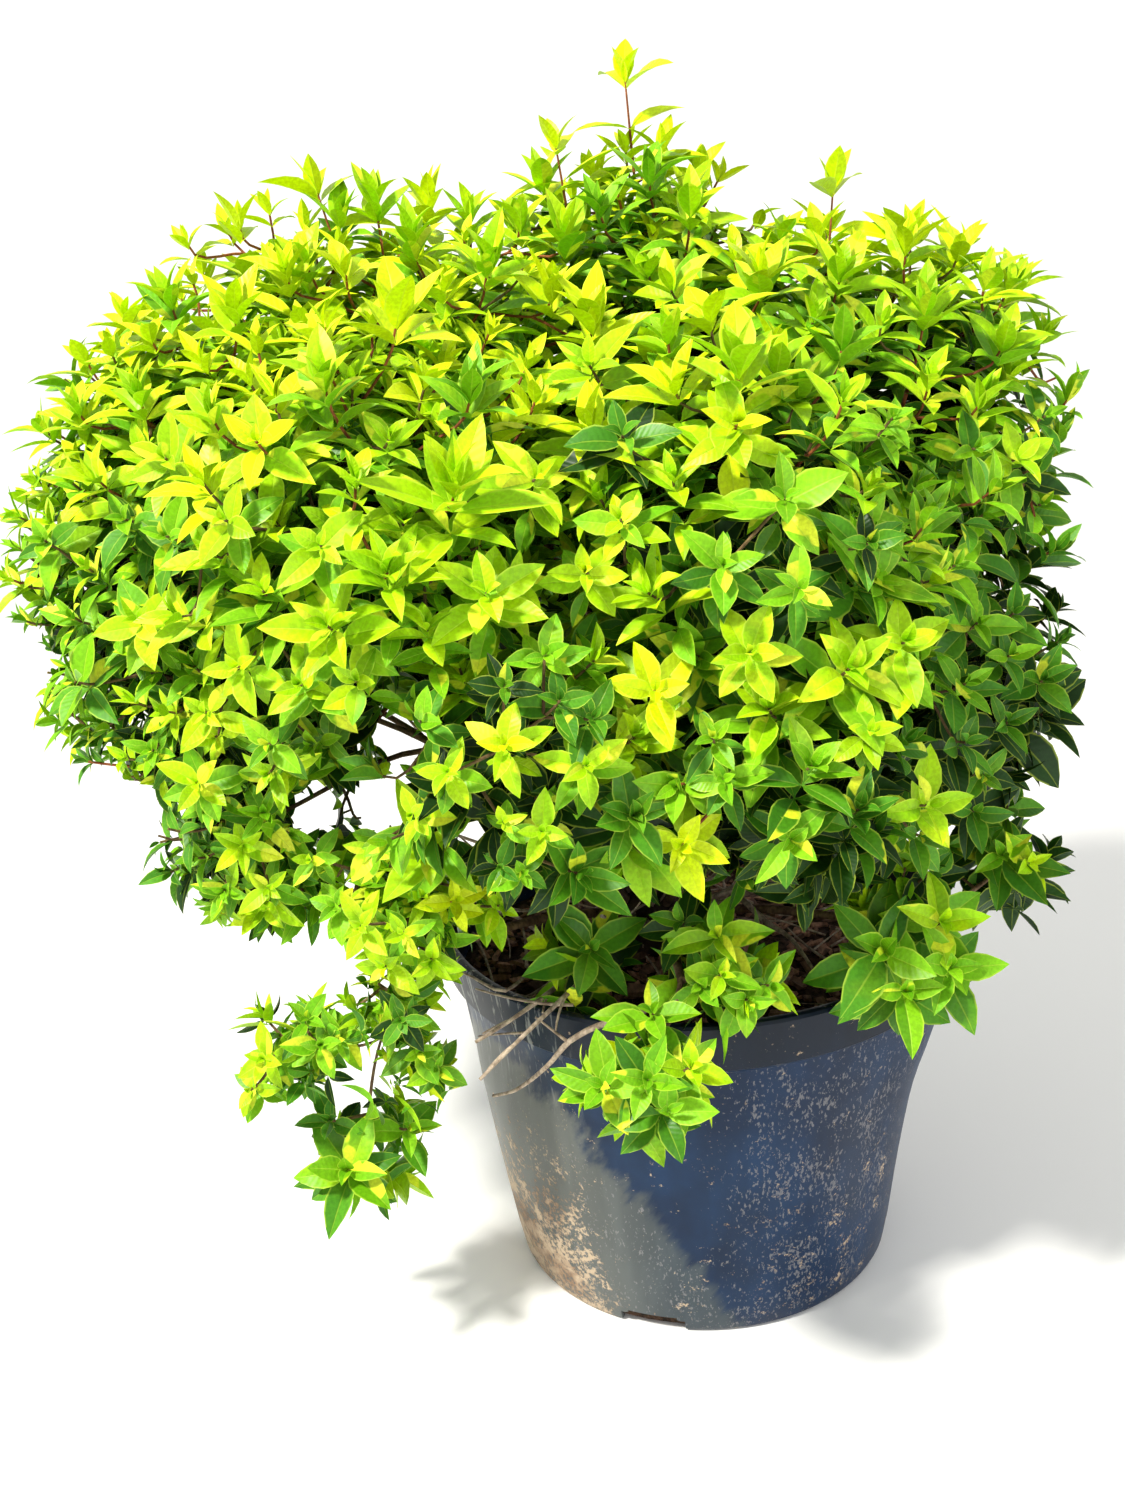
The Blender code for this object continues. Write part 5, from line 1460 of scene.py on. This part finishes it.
def make_foliage(balls, stems, twig_bark, red_bark):
    """Twigs, young twigs and the leaves of each tone, from the inside of the crown out."""
    foliage = Foliage(balls, stems)
    for rule in LAYERS:
        if not rule["shade"]:
            foliage.grow_shown()
        foliage.grow_layer(rule)
    dice = random.Random(SEED + 2)
    for name, foot, tip in SPIKES:
        foliage.grow_spike(name, foot, tip, dice)
    masses = list(balls)
    add_piece("twigs", foliage.twigs.mesh("twigs"), twig_bark, masses)
    add_piece("young_twigs", foliage.red_twigs.mesh("young_twigs"), red_bark, masses)
    for tone, leaves in foliage.leaves.items():
        leaves.keep(foliage.crown)
        material = leaf_material(tone, *LEAF_TONES[tone])
        pieces = math.ceil(len(leaves.rows) / LEAVES_A_PIECE)
        for index, rows in enumerate(np.array_split(leaves.rows, pieces)):
            name = f"leaves_{tone}" if pieces == 1 else f"leaves_{tone}_{index + 1}"
            add_piece(name, leaf_mesh(name, rows), material, masses)


# Stage


def make_stage():
    """A pale floor that curves up into a backdrop, a large sunny key light and a weak fill."""
    look = Shader("stage_paper", roughness=0.95, specular=0.05)
    paper = look.finish((0.96, 0.96, 0.96, 1.0))
    bend, far, tall, wide = 1.2, 3.4, 5.0, 25.0
    profile = [(-20.0, 0.0), (far - bend, 0.0)]
    profile += [(far - bend + bend * math.sin(angle), bend - bend * math.cos(angle))
                for angle in np.linspace(0.1, math.pi / 2, 12)]
    profile.append((far, tall))
    corners = [(x, y, z - 0.0005) for y, z in profile for x in (-wide, wide)]
    faces = [(k, k + 1, k + 3, k + 2) for k in range(0, len(corners) - 2, 2)]
    sheet = bpy.data.meshes.new("stage_paper")
    sheet.from_pydata(corners, [], faces)
    sheet.shade_smooth()
    sheet.materials.append(paper)
    add_object("stage_backdrop", sheet)
    world = bpy.data.worlds.new("studio")
    bpy.context.scene.world = world
    world.use_nodes = True
    sky = world.node_tree.nodes["Background"].inputs
    sky["Color"].default_value = (1.0, 1.0, 0.97, 1.0)
    sky["Strength"].default_value = SKY_STRENGTH
    for name, place, size, power, tint in LAMPS:
        data = bpy.data.lights.new(name, "AREA")
        data.size = size
        data.energy = power
        data.color = tint
        lamp = add_object(name, data)
        lamp.location = place
        lamp.rotation_euler = (LAMP_AIM - Vector(place)).to_track_quat("-Z", "Y").to_euler()
    bpy.context.scene.view_settings.view_transform = "Standard"


def main():
    balls = crown_balls()
    boughs = plan_boughs()
    stems = plan_stems(balls, boughs)
    foot_bark = bark_material("foot_bark", colour(84, 66, 54), colour(38, 29, 24), 70.0)
    bark = bark_material("old_bark", colour(132, 110, 90), colour(76, 60, 48))
    shoot_bark = bark_material("young_bark", colour(138, 112, 84), colour(90, 68, 50), 120.0)
    dry_bark = bark_material("dry_bark", colour(192, 174, 154), colour(128, 110, 94), 140.0)
    twig_bark = bark_material("twig_bark", colour(128, 104, 66), colour(84, 66, 42), 150.0)
    red_bark = bark_material("red_bark", colour(158, 92, 52), colour(112, 58, 34), 150.0)
    soil_edge = outer_radius(MULCH_EDGE) - WALL - 0.0008
    make_pot(pot_material())
    make_soil(soil_edge, soil_material())
    make_chips(soil_edge, mulch_material())
    make_foot(foot_bark)
    make_limbs(boughs, stems, bark, shoot_bark)
    make_bare_twigs(boughs, dry_bark)
    make_foliage(balls, stems, twig_bark, red_bark)
    make_stage()


main()
